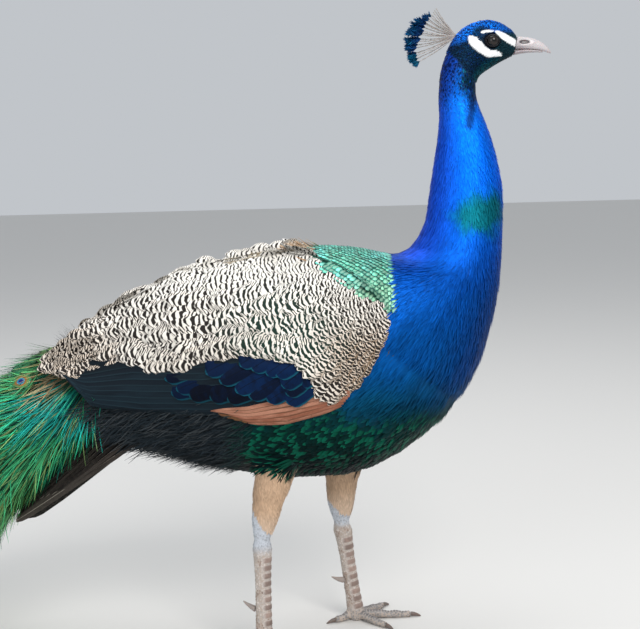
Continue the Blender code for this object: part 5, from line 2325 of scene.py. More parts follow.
    def shoulder_tuft(self) -> None:
        """The rusty tuft where the mantle meets the barred feathers on the ridge."""
        dice = np.random.default_rng(81)
        count = 260
        x = dice.normal(-0.026, 0.014, count)
        angle = dice.normal(0.0, 0.16, count)
        places, ups = [], []
        for along, turn in zip(x, angle):
            start = Vector((along + STANCE[0], 0.0, 0.46))
            hit, _, index, _ = self.tree.ray_cast(start, Vector((0, math.sin(turn), math.cos(turn))))
            places.append(hit)
            ups.append(self.skin.normal_at(index))
        self.strands = PlumeSet("tuft_strands", Plume(Outline.STRAND, 1, 0.0, 0.8, 0.3),
                                Plume(Outline.STRAND, 1, 0.0, 0.2, -0.4))
        lie = np.tile((-1.0, 0.0, 0.0), (count, 1))

        def rusty(points: Array, chance: Array) -> tuple[Array, Array]:
            """Rust, buff and cream."""
            tip = blend(np.tile((0.46, 0.26, 0.12), (len(points), 1)), (0.68, 0.56, 0.42), chance)
            return tip * 0.7, tip

        roots = lay_roots(np.array(places), unit(np.array(ups)), lie, 0.020, 0.0030, 0.40, rusty, 82, 0.35, 2,
                          uneven=0.3)
        finish = PlumeFinish("rusty_tuft", metallic=0.0, roughness=0.8, streaks=0.3, variety=0.3)
        settle(plant("coat_shoulder_tuft", roots, self.strands, finish.material()), "barred_cream")


@dataclass
class Train:
    """The train: a core painted dark as the shade between the barbs, barbs over it, scale feathers at its root and
    eyespots in staggered rows.
    """

    voxel: float = 0.0060
    depth: float = 0.0090
    barb_spacing: float = 0.0030
    nodes: tuple[str, ...] = ("train_base", "train_fall", "train_bend", "train_middle", "train_end")

    def __post_init__(self) -> None:
        """Makes the shapes and finishes."""
        self.barbs = PlumeSet("train_barbs", Plume(Outline.STRAND, 1, 0.0, 2.2, 1.4),
                              Plume(Outline.STRAND, 1, 0.0, 0.5, -1.6),
                              Plume(Outline.STRAND, 1, 0.0, -1.5, 0.6), Plume(Outline.STRAND, 1, 0.0, 1.2, -0.5))
        self.scales = PlumeSet("train_scales", Plume(Outline.SCALE, 4, 0.14, 0.03))
        self.discs = PlumeSet("eyespots", Plume(Outline.DISC, 6, 0.10, 0.03))
        self.glossy = PlumeFinish("train_barb", metallic=0.60, roughness=0.38, streaks=0.2, variety=0.4)

    def core(self) -> None:
        """The train's inside, a little within the outline, painted dark as the shade between the barbs."""
        self.mesh = smooth_copy(self.nodes, self.voxel, 0.0009, 12)
        points, normals = points_of(self.mesh), normals_of(self.mesh)
        station, share = TRAIN_LINES.place(points - STANCE)
        front = smoothstep(0.34, 0.12, share) * smoothstep(8.0, 6.0, station)
        depth = self.depth * (1 - 0.6 * smoothstep(-1.50, -1.68, points[:, 0] - STANCE[0])) * (1 - 0.8 * front)
        points -= normals * depth[:, None]
        points[:, 2] = np.maximum(points[:, 2], 0.0008)
        move_to(self.mesh, points)
        self.points, self.normals = points_of(self.mesh), normals_of(self.mesh)
        clouds = cloudy(self.points, 0.03, 91)
        # The core is painted nearly black-green: painted shade between the barbs.
        paint(self.mesh, blend(np.tile((0.002, 0.018, 0.012), (len(points), 1)), (0.010, 0.050, 0.022), clouds))
        piece = add_object("train_core", self.mesh)
        dress(piece, SkinFinish("train_core_skin").material())
        settle(piece, "train_green", *self.nodes)

    def coat(self) -> None:
        """Barbs over the core, in three lengths."""
        own = self.points - STANCE
        station, _ = TRAIN_LINES.place(own)
        side_up = ~((own[:, 2] < 0.010) & (self.normals[:, 2] < -0.3))
        finish = self.glossy.material()
        for number, (name, low, high) in enumerate((("coat_train_fall", -1.0, 7.2), ("coat_train_bend", 7.0, 11.2),
                                                    ("coat_train_end", 11.0, 18.0))):
            chosen = (station >= low) & (station <= high) & side_up
            ground = ground_for(self.mesh, self.points, self.normals, chosen)
            points, normals = sow(ground, self.barb_spacing * (1.0, 1.0, 1.08)[number], 101 + number)
            place = points - STANCE
            at, share = TRAIN_LINES.place(place)
            keep = (at >= low + 0.1) & (at <= high - 0.1) & ~((place[:, 2] > 0.392) & (place[:, 0] > -0.345))
            points, normals, at, share, place = points[keep], normals[keep], at[keep], share[keep], place[keep]
            lie = TRAIN_LINES.lie(at, share)
            waves = cloudy(points, 0.05, 105)[:, None] - 0.5
            lie = lie + np.cross(normals, lie) * waves * 0.9
            # Over the root of the tail the barbs hang more steeply and reach further.
            hanging = smoothstep(0.45, 0.10, share) * smoothstep(6.0, 4.0, at)
            lie = lie + np.array((0.22, 0.0, -0.25)) * hanging[:, None]
            length = 0.050 + 0.012 * smoothstep(0.3, 0.7, cloudy(points, 0.03, 107))
            length = length * (1 - 0.45 * smoothstep(16.0, 17.0, at)) * (1 - 0.10 * hanging)
            roots = lay_roots(points, normals, lie, length, 0.0015, 0.11, PLUMAGE.train, 111 + number, 0.22,
                              self.barbs.count, uneven=0.3)
            roots.size[:, 2] = 0.0040
            # Near the floor the barbs lie flat, so that none goes through it.
            low_down = smoothstep(0.030, 0.008, place[:, 2])
            roots.tilt *= 1 - 0.7 * low_down
            coat = plant(name, roots, self.barbs, finish, tip_sharpness=0.8)
            self._off_the_floor(coat)
            settle(coat, "train_green")

    def _off_the_floor(self, piece: bpy.types.Object) -> None:
        """Lifts what lies below the floor onto it.

        Args:
            piece: The piece, whose mesh is changed.
        """
        points = points_of(piece.data)
        points[:, 2] = np.maximum(points[:, 2], 0.0006)
        move_to(piece.data, points)

    def _surface(self, station: Array, angle: Array) -> tuple[Array, Array]:
        """Places and outward normals on the train's outline.

        Args:
            station: Station numbers.
            angle: Angles from the back towards the left side.

        Returns:
            The places from the stance point and the unit normals.
        """
        points = TRAIN_LINES.point(station, angle)
        along = TRAIN_LINES.point(station + 0.05, angle) - TRAIN_LINES.point(station - 0.05, angle)
        around = TRAIN_LINES.point(station, angle + 0.03) - TRAIN_LINES.point(station, angle - 0.03)
        normals = unit(np.cross(along, around))
        slices = TRAIN_LINES.at(station)
        centre = (slices[:, 0:2] + slices[:, 2:4]) / 2
        outward = points - np.stack([centre[:, 0], np.zeros(len(points)), centre[:, 1]], 1)
        return points, normals * np.where((normals * outward).sum(axis=1) < 0, -1.0, 1.0)[:, None]

    def _spots(self) -> tuple[Array, Array]:
        """Station and angle of each eyespot, in staggered rows that start sparse.

        Returns:
            The station numbers and the angles.
        """
        dice = np.random.default_rng(121)
        stations, angles = [], []
        station, number = 1.5, 0
        while station < 16.6:
            here = TRAIN_LINES.at(np.array([station]))[0]
            radius = max(here[4], 0.03)
            step = 0.052 / radius
            reach = 1.75 if station < 6.5 else 1.45
            count = int(reach / step)
            for column in range(-count, count + 1):
                angle = (column + 0.5 * (number % 2)) * step + dice.normal(0, 0.05)
                chance = 0.22 + 0.78 * float(smoothstep(2.5, 7.5, station))
                if dice.random() < chance:
                    stations.append(station + dice.normal(0, 0.08))
                    angles.append(angle)
            length = float(np.linalg.norm(TRAIN_LINES.point(np.array([station + 0.5]), np.array([0.0]))
                                          - TRAIN_LINES.point(np.array([station - 0.5]), np.array([0.0]))))
            station += 0.046 / max(length, 0.02)
            number += 1
        return np.array(stations), np.array(angles)

    def _behind_the_wings(self) -> tuple[Array, Array]:
        """Places and normals of the spots that show just behind the tip of each wing.

        Returns:
            The places from the stance point and the unit normals.
        """
        tree = search_tree(self.points, triangles_of(self.mesh))
        places, ups = [], []
        for side in SIDES:
            hit, normal, _, _ = tree.ray_cast(*side.ray(-0.386, 0.386, 0.3))
            if hit is not None:
                places.append(hit)
                ups.append(normal)
        return np.array(places) - STANCE, unit(np.array(ups))

    def eyespots(self) -> None:
        """Eyespots, each with a fringe of loose barbs."""
        station, angle = self._spots()
        points, normals = self._surface(station, angle)
        share = (np.cos(angle) + 1) / 2
        lie = TRAIN_LINES.lie(station, share)
        high = points[:, 2] > 0.012
        station, points, normals, lie = station[high], points[high], normals[high], lie[high]
        size = 0.62 + 0.38 * smoothstep(3.0, 8.0, station)
        points = points - normals * (0.004 * smoothstep(7.0, 3.0, station))[:, None]
        near, ups = self._behind_the_wings()
        at, part = TRAIN_LINES.place(near)
        points, normals = np.vstack([points, near + ups * 0.0105]), np.vstack([normals, ups])
        lie, size = np.vstack([lie, TRAIN_LINES.lie(at, part)]), np.append(size, np.full(len(near), 0.72))
        places = points + STANCE + normals * 0.0008
        roots = lay_roots(places, normals, lie, 0.040 * size, 0.033 * size, 0.10, PLUMAGE.train, 122, 0.12, roll=0.10)
        spots = plant("train_eyespots", roots, self.discs, EyespotFinish().material(), 0.022)
        self._off_the_floor(spots)
        settle(spots, "train_green")
        dice = np.random.default_rng(123)
        per_spot = 26
        index = np.repeat(np.arange(len(points)), per_spot)
        along = dice.uniform(-0.55, 0.75, len(index))
        side = dice.choice((-1.0, 1.0), len(index))
        across = np.cross(normals, unit(lie))[index]
        start = (places[index] + lie[index] * (along * 0.040 * size[index])[:, None]
                 + across * (side * dice.uniform(0.0, 0.010, len(index)))[:, None])
        way = lie[index] + across * (side * dice.uniform(0.25, 0.85, len(index)))[:, None]
        start = start - normals[index] * 0.0015
        fringe = lay_roots(start, normals[index], way, 0.036 * size[index], 0.0019, 0.07, PLUMAGE.train, 124, 0.10,
                           self.barbs.count, uneven=0.3)
        fringe.size[:, 2] = 0.0030
        coat = plant("coat_train_fringe", fringe, self.barbs, self.glossy.material(), tip_sharpness=0.8)
        self._off_the_floor(coat)
        settle(coat, "train_green")

    def root_scales(self) -> None:
        """Bronze-green scale feathers over the root of the train, larger towards the barbs."""
        stations, angles = [], []
        station, number = 0.25, 0
        while station < 1.9:
            step = (0.0150 + 0.0016 * station) / 0.062
            count = int(0.75 / step)
            for column in range(-count, count + 1):
                stations.append(station)
                angles.append((column + 0.5 * (number % 2)) * step)
            station += 0.30
            number += 1
        station, angle = np.array(stations), np.array(angles)
        points, normals = self._surface(station, angle)
        lie = TRAIN_LINES.lie(station, (np.cos(angle) + 1) / 2)
        keep = points[:, 2] > 0.245
        station, points, normals, lie = station[keep], points[keep], normals[keep], lie[keep]
        size = 1 + 0.22 * station

        def bronze(places: Array, chance: Array) -> tuple[Array, Array]:
            """Bronze-green, greener towards the barbs.

            Args:
                places: Places in the frame.
                chance: A random number from 0 to 1 for each.

            Returns:
                The root colours and the tip colours.
            """
            tip = blend(np.tile((0.130, 0.230, 0.050), (len(places), 1)), (0.012, 0.300, 0.130),
                        smoothstep(0.3, 2.0, station))
            tip = tip * (0.6 + 0.7 * chance)[:, None]
            return tip * 0.4, tip

        roots = lay_roots(points + STANCE - normals * 0.008, normals, lie, 0.020 * size, 0.0165 * size, 0.12, bronze,
                          131, 0.08, roll=0.06)
        settle(plant("coat_train_root", roots, self.scales, ScaleFinish("train_root_scale", metallic=0.4).material(),
                     0.020), "train_green")


# ----------------------------------------------------------------------- eyes, bill, crest, quills, legs


class Sheets:
    """Gathers like grids of faces, such as long feathers or horny plates, into one piece."""

    def __init__(self, columns: int, rows: int) -> None:
        """Starts empty.

        Args:
            columns: Vertices across one grid.
            rows: Vertices along one grid.
        """
        self.columns, self.rows = columns, rows
        self.points: list[Array] = []
        self.turned: list[bool] = []
        self.tints: list[Array] = []
        self.chances: list[float] = []

    def add(self, points: Array, outward: Array, tint: Colour | Array, chance: float) -> None:
        """Adds one grid.

        Args:
            points: Its vertices, row after row.
            outward: The way its faces should point, for the whole grid or for each vertex.
            tint: Its colour, or one for each vertex.
            chance: Its own random number from 0 to 1.
        """
        shape = points.reshape(self.rows, self.columns, 3)
        faces = np.cross(shape[1:, :-1] - shape[:-1, :-1], shape[:-1, 1:] - shape[:-1, :-1])
        outward = np.broadcast_to(outward, points.shape).reshape(self.rows, self.columns, 3)[:-1, :-1]
        self.turned.append(bool((faces * outward).sum() < 0))
        self.points.append(points)
        self.tints.append(np.broadcast_to(np.asarray(tint, float), points.shape))
        self.chances.append(chance)

    def build(self, name: str, finish: bpy.types.Material) -> bpy.types.Object:
        """Makes the piece, with a cell of the bake map for each grid.

        Args:
            name: The piece's name.
            finish: Its material.

        Returns:
            The piece.
        """
        count, size = len(self.points), self.columns * self.rows
        quads = grid_faces(self.columns, self.rows)[:, ::-1]
        faces = [(quads[:, ::-1] if turned else quads) + number * size for number, turned in enumerate(self.turned)]
        mesh = new_mesh(name, np.concatenate(self.points), [np.concatenate(faces)])
        paint(mesh, np.concatenate(self.tints))
        put(mesh, "chance", np.repeat(np.array(self.chances), size))
        along = np.repeat(np.linspace(0, 1, self.rows), self.columns)
        across = np.tile(np.linspace(0, 1, self.columns), self.rows)
        flat = np.tile(np.stack([along, across], 1), (count, 1))
        corners = corner_vertices(mesh)
        put_map(mesh, "vane", flat[corners])
        wide = max(1, round(math.sqrt(count / 5)))
        high = math.ceil(count / wide)
        number = np.repeat(np.arange(count), size)
        cell = np.stack([(number % wide + 0.04 + 0.92 * flat[:, 0]) / wide,
                         (number // wide + 0.06 + 0.88 * flat[:, 1]) / high], 1)
        put_map(mesh, BAKE_MAP, cell[corners])
        piece = add_object(name, mesh)
        dress(piece, finish)
        return piece


@dataclass(frozen=True)
class Eyes:
    """The eyeballs, each with a corneal bulge."""

    rings: int = 24
    around: int = 48
    bulge: float = 0.0006
    ahead: float = 0.10  # how far the gaze turns forwards

    def build(self) -> None:
        """Makes both eyeballs."""
        angle = np.repeat(np.linspace(0, math.pi, self.rings + 1), self.around)
        turn = np.tile(np.arange(self.around) / self.around, self.rings + 1)
        radius = EYE_RADIUS + self.bulge * np.exp(-((angle / 0.6) ** 2)) - self.bulge * 0.5
        quads = grid_faces(self.around, self.rings + 1, True)
        finish = EyeFinish().material()
        for side in SIDES:
            gaze = unit(np.array((self.ahead, side.value, -0.02)))
            first = unit(np.cross(gaze, (0.0, 0.0, 1.0)))
            second = np.cross(gaze, first)
            out, bearing = np.sin(angle) * radius, turn * 2 * math.pi
            points = (gaze * (np.cos(angle) * radius)[:, None] + first * (out * np.cos(bearing))[:, None]
                      + second * (out * np.sin(bearing))[:, None])
            mesh = new_mesh(f"eyeball_{side.word}", points + EYE * (1, side.value, 1), [quads[:, ::-1]])
            corners = corner_vertices(mesh).reshape(-1, 4)
            around = turn[corners]
            around = np.where((around < 0.5) & (around.max(axis=1, keepdims=True) > 0.9), around + 1, around)
            reach = np.where(angle < math.pi / 2, np.sin(angle), 2 - np.sin(angle))[corners]
            put_map(mesh, "vane", np.stack([around, reach], 2))
            merge_close(mesh, 1e-6)
            piece = add_object(f"eyeball_{side.word}", mesh)
            dress(piece, finish)
            settle(piece, "eye_brown", f"eye_{side.word}")


@dataclass(frozen=True)
class Bill:
    """The two halves of the bill, the upper with its nostrils."""

    nostril: tuple[float, float] = (0.0435, -0.0018)  # from the eye's middle
    nostril_size: tuple[float, float] = (0.0092, 0.0036)

    def build(self) -> None:
        """Makes both halves."""
        finish = HornFinish("bill_horn", (0.60, 0.56, 0.57), (0.30, 0.27, 0.29), (70.0, 700.0, 700.0), 0.36).material()
        for name in ("bill_upper", "bill_lower"):
            mesh = smooth_copy((name,), 0.0006, 0.0004, 7)
            points, normals = points_of(mesh), normals_of(mesh)
            flat = (points[:, [0, 2]] - EYE[[0, 2]] - self.nostril) / self.nostril_size
            out = np.linalg.norm(flat, axis=1)
            tint = np.ones((len(points), 3))
            tint = blend(tint, (0.74, 0.72, 0.74), smoothstep(0.050, 0.030, points[:, 0] - EYE[0]))
            # Towards its lower edge the bill is darker: painted shade beneath it.
            low = smoothstep(-0.006, -0.014, points[:, 2] - EYE[2] + 0.12 * (points[:, 0] - EYE[0] - 0.035))
            tint = blend(tint, (0.48, 0.44, 0.47), low * 0.8)
            if name == "bill_upper":
                sided = smoothstep(0.0012, 0.0030, np.abs(points[:, 1]))
                rim = 0.0004 * np.exp(-(((out - 1.35) / 0.3) ** 2))
                points -= normals * ((0.0013 * smoothstep(1.0, 0.35, out) - rim) * sided)[:, None]
                # The sunken nostril is painted dark, the shade of its hollow.
                tint = blend(tint, (0.09, 0.08, 0.09), smoothstep(1.0, 0.60, out) * sided)
                tint = blend(tint, (0.80, 0.76, 0.76), smoothstep(0.0040, 0.0006, np.abs(points[:, 1])) * 0.7)
            move_to(mesh, points)
            paint(mesh, tint)
            piece = add_object(f"horn_{name}", mesh)
            dress(piece, finish)
            settle(piece, "horn", name)


@dataclass
class Crest:
    """The crest: bare shafts in a fan, each with a tuft of barbs at its tip."""

    root: tuple[float, float] = (0.191, 0.830)
    bearings: tuple[float, float] = (125.0, 213.0)
    # Along the fan: how far the tufts reach, where the bare shafts end and how full the tufts are.
    reaches: tuple[float, ...] = (0.0480, 0.0510, 0.0590, 0.0680, 0.0720, 0.0735, 0.0725)
    bare: tuple[float, ...] = (0.0440, 0.0425, 0.0430, 0.0440, 0.0480, 0.0570, 0.0600)
    fullness: tuple[float, ...] = (0.0, 0.0, 0.45, 1.0, 1.0, 1.0, 0.8)
    count: int = 21
    barbs_each: int = 110

    def build(self) -> None:
        """Makes the shafts and the tufts."""
        dice = np.random.default_rng(201)
        sides, rings = 5, 12
        points, faces, tints = [], [], []
        starts, ways, ups, sizes, colours = [], [], [], [], []
        for number in range(self.count):
            share = number / (self.count - 1)
            bearing = math.radians(between(self.bearings, share) + dice.normal(0, 0.7))
            reach, bare, full = (float(np.interp(share * (len(row) - 1), range(len(row)), row))
                                 for row in (self.reaches, self.bare, self.fullness))
            reach *= 1 + dice.uniform(-0.03, 0.02)
            lean = (0.0042 if number % 2 else -0.0042) * (0.4 + 0.6 * dice.random())
            place = np.linspace(0, 1, rings)
            bow = 0.0016 * np.sin(place * math.pi)
            out = 0.002 + (bare - 0.001) * place
            ahead = np.array((math.cos(bearing), 0, math.sin(bearing)))
            across = np.array((-math.sin(bearing), 0, math.cos(bearing)))
            line = np.array((self.root[0], 0, self.root[1])) + ahead * out[:, None] + across * bow[:, None]
            line[:, 1] = lean * place**1.3
            line = line + STANCE
            radius = 0.00068 - 0.00020 * place
            turn = np.arange(sides) * 2 * math.pi / sides
            ring = across * np.cos(turn)[:, None] + np.array((0, 1, 0)) * np.sin(turn)[:, None]
            points.append((line[:, None] + ring[None] * radius[:, None, None]).reshape(-1, 3))
            faces.append(grid_faces(sides, rings, True) + number * sides * rings)
            tints.append(np.tile((0.44, 0.40, 0.385), (sides * rings, 1)) * (0.7 + 0.45 * dice.random()))
            barbs = round(self.barbs_each * full)
            back = dice.random(barbs)
            spread = (dice.random(barbs) - 0.5) * 2
            start = line[-1] + ahead * ((reach - bare - 0.0085) * back - 0.0015)[:, None]
            start = start + np.stack([np.zeros(barbs), dice.normal(0, 0.0008, barbs), np.zeros(barbs)], 1)
            way = ahead * np.cos(spread * 0.64)[:, None] + across * np.sin(spread * 0.64)[:, None]
            starts.append(start)
            ways.append(way)
            ups.append(np.tile((0.0, 1.0 if number % 2 else -1.0, 0.0), (barbs, 1)) + dice.normal(0, 0.25, (barbs, 3)))
            length = 0.0092 - 0.0020 * np.abs(spread) + dice.uniform(-0.001, 0.001, barbs)
            sizes.append(np.stack([length, np.full(barbs, 0.0015), np.full(barbs, 0.0012)], 1))
            # The lowest tufts, and the tips of all, are more teal.
            teal = np.clip(0.15 + 0.5 * back + 0.6 * (share > 0.85) - 0.3 * dice.random(barbs), 0, 1)[:, None]
            base = np.array((0.001, 0.028, 0.150)) * (1 - teal) + np.array((0.001, 0.095, 0.200)) * teal
            colours.append(base * (0.50 + 0.9 * dice.random((barbs, 1))))
            # A few thin barbs stand along the bare part.
            few = 22
            at = dice.uniform(0.15, 0.95, few)
            sign = dice.choice((-1.0, 1.0), few)[:, None]
            starts.append(line[0] + (line[-1] - line[0]) * at[:, None] + across * (np.interp(at, place, bow))[:, None])
            ways.append(ahead + across * sign * 0.20)
            ups.append(np.tile((0.0, 1.0, 0.0), (few, 1)))
            sizes.append(np.tile((0.0052, 0.0004, 0.0004), (few, 1)))
            colours.append(np.tile((0.30, 0.28, 0.27), (few, 1)))
        mesh = new_mesh("crest_shafts", np.concatenate(points), [np.concatenate(faces)])
        paint(mesh, np.concatenate(tints))
        piece = add_object("crest_shafts", mesh)
        dress(piece, HornFinish("crest_shaft", (1.0, 1.0, 1.0), (0.6, 0.5, 0.45), (300.0, 300.0, 300.0),
                                0.5).material())
        settle(piece, "horn", "crest")
        tips = np.concatenate(colours)
        count = len(tips)
        normals = unit(np.concatenate(ups))
        roots = Roots(np.concatenate(starts), normals, np.concatenate(ways), np.concatenate(sizes),
                      dice.normal(0.0, 0.06, count), dice.normal(0, 0.3, count), tips * np.array((0.6, 0.8, 0.6)),
                      tips, dice.random(count), dice.integers(0, 2, count))
        self.barbs = PlumeSet("crest_barbs", Plume(Outline.STRAND, 1, 0.0, 0.8, 0.4),
                              Plume(Outline.STRAND, 1, 0.0, 0.3, -0.5))
        finish = PlumeFinish("crest_tuft", metallic=0.6, roughness=0.42)
        settle(plant("crest_tufts", roots, self.barbs, finish.material(), 0.006), "crest_blue")


@dataclass
class Quills:
    """One wing's flight feathers: rimmed dark coverts, long secondaries and chestnut primaries."""

    side: Side
    upper: tuple[tuple[float, float], ...] = (
        (-0.3640, 0.4110), (-0.3480, 0.4110), (-0.3200, 0.4090), (-0.2500, 0.4220), (-0.1600, 0.4210),
        (-0.0850, 0.4310), (-0.0260, 0.4250), (-0.0020, 0.3900), (0.0100, 0.3740),
    )
    lower: tuple[tuple[float, float], ...] = (
        (-0.3640, 0.4070), (-0.3460, 0.3960), (-0.3060, 0.3620), (-0.2400, 0.3490), (-0.1540, 0.3470),
        (-0.0980, 0.3460), (-0.0500, 0.3570), (-0.0100, 0.3650), (0.0060, 0.3675),
    )
    primaries_upper: tuple[tuple[float, float], ...] = ((-0.1400, 0.3500), (-0.0980, 0.3520), (-0.0500, 0.3620),
                                                        (0.0060, 0.3720), (0.0380, 0.3700))
    primaries_lower: tuple[tuple[float, float], ...] = ((-0.1380, 0.3410), (-0.0980, 0.3290), (-0.0470, 0.3300),
                                                        (0.0, 0.3430), (0.0280, 0.3545))
    # Tips of the dark coverts with each one's length, width, downward slope and brightness, from the lowest row to
    # the highest.
    covert_rows: tuple[tuple[tuple[float, ...], ...], ...] = (
        ((-0.1900, 0.3790, 0.060, 0.024, 0.30, 0.55), (-0.1967, 0.3733, 0.056, 0.024, 0.22, 0.45),
         (-0.2048, 0.3929, 0.062, 0.025, 0.36, 0.60), (-0.1726, 0.3687, 0.054, 0.024, 0.30, 0.35),
         (-0.1452, 0.3667, 0.050, 0.024, 0.34, 0.35), (-0.1226, 0.3644, 0.050, 0.022, 0.34, 0.40)),
        ((-0.0708, 0.3628, 0.052, 0.023, 0.55, 1.10), (-0.0941, 0.3683, 0.056, 0.024, 0.52, 1.00),
         (-0.1116, 0.3770, 0.062, 0.025, 0.48, 1.00), (-0.1322, 0.3897, 0.060, 0.024, 0.44, 0.85),
         (-0.1504, 0.4017, 0.058, 0.025, 0.40, 0.65)),
        ((-0.0450, 0.3591, 0.042, 0.024, 0.62, 2.20), (-0.0455, 0.3715, 0.040, 0.022, 0.70, 0.90),
         (-0.0508, 0.3824, 0.044, 0.024, 0.70, 0.80), (-0.0585, 0.3973, 0.042, 0.024, 0.60, 1.00),
         (-0.0713, 0.3996, 0.044, 0.022, 0.56, 0.90), (-0.0901, 0.4063, 0.046, 0.024, 0.50, 0.80),
         (-0.1056, 0.4116, 0.044, 0.022, 0.46, 0.70)),
        ((-0.0305, 0.3859, 0.027, 0.027, 0.70, 1.80),),
    )

    def __post_init__(self) -> None:
        """Gathers the surfaces that the feathers lie on."""
        word = self.side.word
        self.nodes = (f"wing_secondaries_{word}", f"wing_primaries_{word}")
        mesh = node_mesh(*self.nodes, f"wing_coverts_{word}", "trunk", "breast")
        self.tree = search_tree(points_of(mesh), triangles_of(mesh))
        bpy.data.meshes.remove(mesh)

    def _outer(self, flat: Array) -> Array:
        """How far out the wing's surface lies at these x and z from the stance point.

        Args:
            flat: The x and z of each place.

        Returns:
            The distance from the bird's middle plane at each.
        """
        found = np.empty(len(flat))
        for number, (x, z) in enumerate(flat):
            hit, *_ = self.tree.ray_cast(*self.side.ray(x, z, 0.4))
            if hit is None:
                hit, *_ = self.tree.find_nearest(Vector((x + STANCE[0], self.side.value * 0.12, z)))
            found[number] = abs(hit.y)
        return found

    def _feather(self, line: Array, width: float, shares: Array, columns: int, lift: Array, tilt: float) -> Array:
        """A feather's vertices.

        Args:
            line: Its shaft, as x and z from the stance point, one row for each row of vertices.
            width: Its greatest width.
            shares: The width of each row, as a share of the greatest.
            columns: Vertices across it.
            lift: How far each row stands off the wing's surface.
            tilt: How much further out its lower edge stands than its upper edge.

        Returns:
            The vertices in the frame, lower edge first in each row.
        """
        step = np.gradient(line, axis=0)
        step /= np.linalg.norm(step, axis=1, keepdims=True)
        across = np.stack([step[:, 1], -step[:, 0]], 1)
        across *= np.where(across[:, 1:] > 0, 1.0, -1.0)
        edge = np.linspace(-1, 1, columns)
        flat = ribbon(line, across, width * shares / 2, columns)
        outer = self._outer(flat.reshape(-1, 2)).reshape(len(line), columns)
        # The surface is read smoothly, so that a feather bridges small steps between nodes.
        for _ in range(3):
            padded = np.pad(outer, ((1, 1), (0, 0)), mode="edge")
            outer = (padded[:-2] + padded[1:-1] + padded[2:]) / 3
        outer = outer + lift[:, None] - edge[None] * tilt / 2 + 0.0010 * (1 - edge[None] ** 2)
        return np.stack([flat[..., 0] + STANCE[0], outer * self.side.value, flat[..., 1]], 2).reshape(-1, 3)

    def build(self) -> None:
        """Makes the wing's core, secondaries, coverts and primaries."""
        word, sign = self.side.word, self.side.value
        dice = np.random.default_rng(211)
        facing = np.array((0.0, sign, 0.0))
        self._core()
        rows, columns = 26, 5
        place = np.linspace(0, 1, rows)
        shares = np.interp(place, (0, 0.1, 0.6, 0.88, 0.95, 0.985, 1.0), (0.7, 0.9, 1.0, 0.92, 0.70, 0.42, 0.10))
        sheets = Sheets(columns, rows)
        count = 9
        for number in reversed(range(count)):
            level = (number + 0.55) / count
            front, tip = -0.010 - 0.008 * number, -0.362 + 0.0062 * number
            x = front + (tip - front) * place
            top, bottom = height_on(self.upper, x), height_on(self.lower, x)
            z = top + (bottom - top) * level
            width = 0.0175 + 0.002 * dice.random()
            lift = 0.0006 * (count - number) - 0.0055 + 0.0015 * place
            shade = 0.6 + 0.30 * number + 0.5 * (number % 2)
            sheets.add(self._feather(np.stack([x, z], 1), width, shares, columns, lift, 0.0022), facing,
                       (shade, shade, shade), dice.random())
        finish = FlightFinish("secondary_quill", (0.003, 0.008, 0.014), (0.005, 0.014, 0.022), (0.02, 0.05, 0.065),
                              0.30, shaft=(0.003, 0.007, 0.012), shaft_width=0.02, metallic=0.20, roughness=0.6)
        settle(sheets.build(f"secondaries_{word}", finish.material()), "quill_blue_black", *self.nodes)
        rows, columns = 12, 7
        place = np.linspace(0, 1, rows)
        shares = np.interp(place, (0, 0.2, 0.55, 0.8, 0.92, 1.0), (0.5, 0.85, 1.0, 0.94, 0.70, 0.16))
        sheets = Sheets(columns, rows)
        for row, coverts in enumerate(self.covert_rows):
            for number, (x, z, length, width, slope, shade) in enumerate(coverts):
                way = np.array((-1.0, -slope)) / math.hypot(1, slope)
                line = np.array((x, z)) - way * (length * (1 - place))[:, None]
                line[:, 1] += 0.002 * np.sin(place * math.pi)
                lift = -0.0040 + 0.0044 * place**0.7 + 0.0010 * row + 0.0010 * number / len(coverts)
                lift = lift * (1.0 if row < 3 else 0.2)
                sheets.add(self._feather(line, width * 1.2, shares, columns, lift, 0.0014), facing,
                           (shade, shade, shade), dice.random())
        finish = FlightFinish("rimmed_covert", (0.001, 0.006, 0.024), (0.001, 0.014, 0.058), (0.005, 0.100, 0.150),
                              0.75, shaft=(0.001, 0.004, 0.012), shaft_width=0.02, metallic=0.50, roughness=0.5)
        settle(sheets.build(f"dark_coverts_{word}", finish.material()), "quill_blue_black")
        self._primaries(dice, facing)

    def _primaries(self, dice: np.random.Generator, facing: Array) -> None:
        """The folded primaries, which show as a chestnut strip under the secondaries.

        Args:
            dice: Gives each feather its own random number.
            facing: The way the feathers face.
        """
        rows, columns = 20, 4
        place = np.linspace(0, 1, rows)
        shares = np.interp(place, (0, 0.1, 0.7, 0.9, 1.0), (0.8, 1.0, 0.95, 0.62, 0.12))
        sheets = Sheets(columns, rows)
        for number in range(5):
            level = (number + 0.45) / 5
            front, tip = 0.036 - 0.003 * number, -0.146 + 0.012 * number
            x = front + (tip - front) * place
            top, bottom = height_on(self.primaries_upper, x), height_on(self.primaries_lower, x)
            z = top + (bottom - top) * level
            lift = -0.0025 - 0.0004 * number + 0.0006 * place
            sheets.add(self._feather(np.stack([x, z], 1), 0.0115, shares, columns, lift, 0.0016), facing, (1, 1, 1),
                       dice.random())
        finish = FlightFinish("chestnut_quill", (0.260, 0.095, 0.055), (0.400, 0.185, 0.120), (0.07, 0.03, 0.02), 0.35,
                              shaft=(0.09, 0.045, 0.02), shaft_width=0.05, mottle=0.15, metallic=0.0, roughness=0.55)
        settle(sheets.build(f"primaries_{self.side.word}", finish.material()), "chestnut")

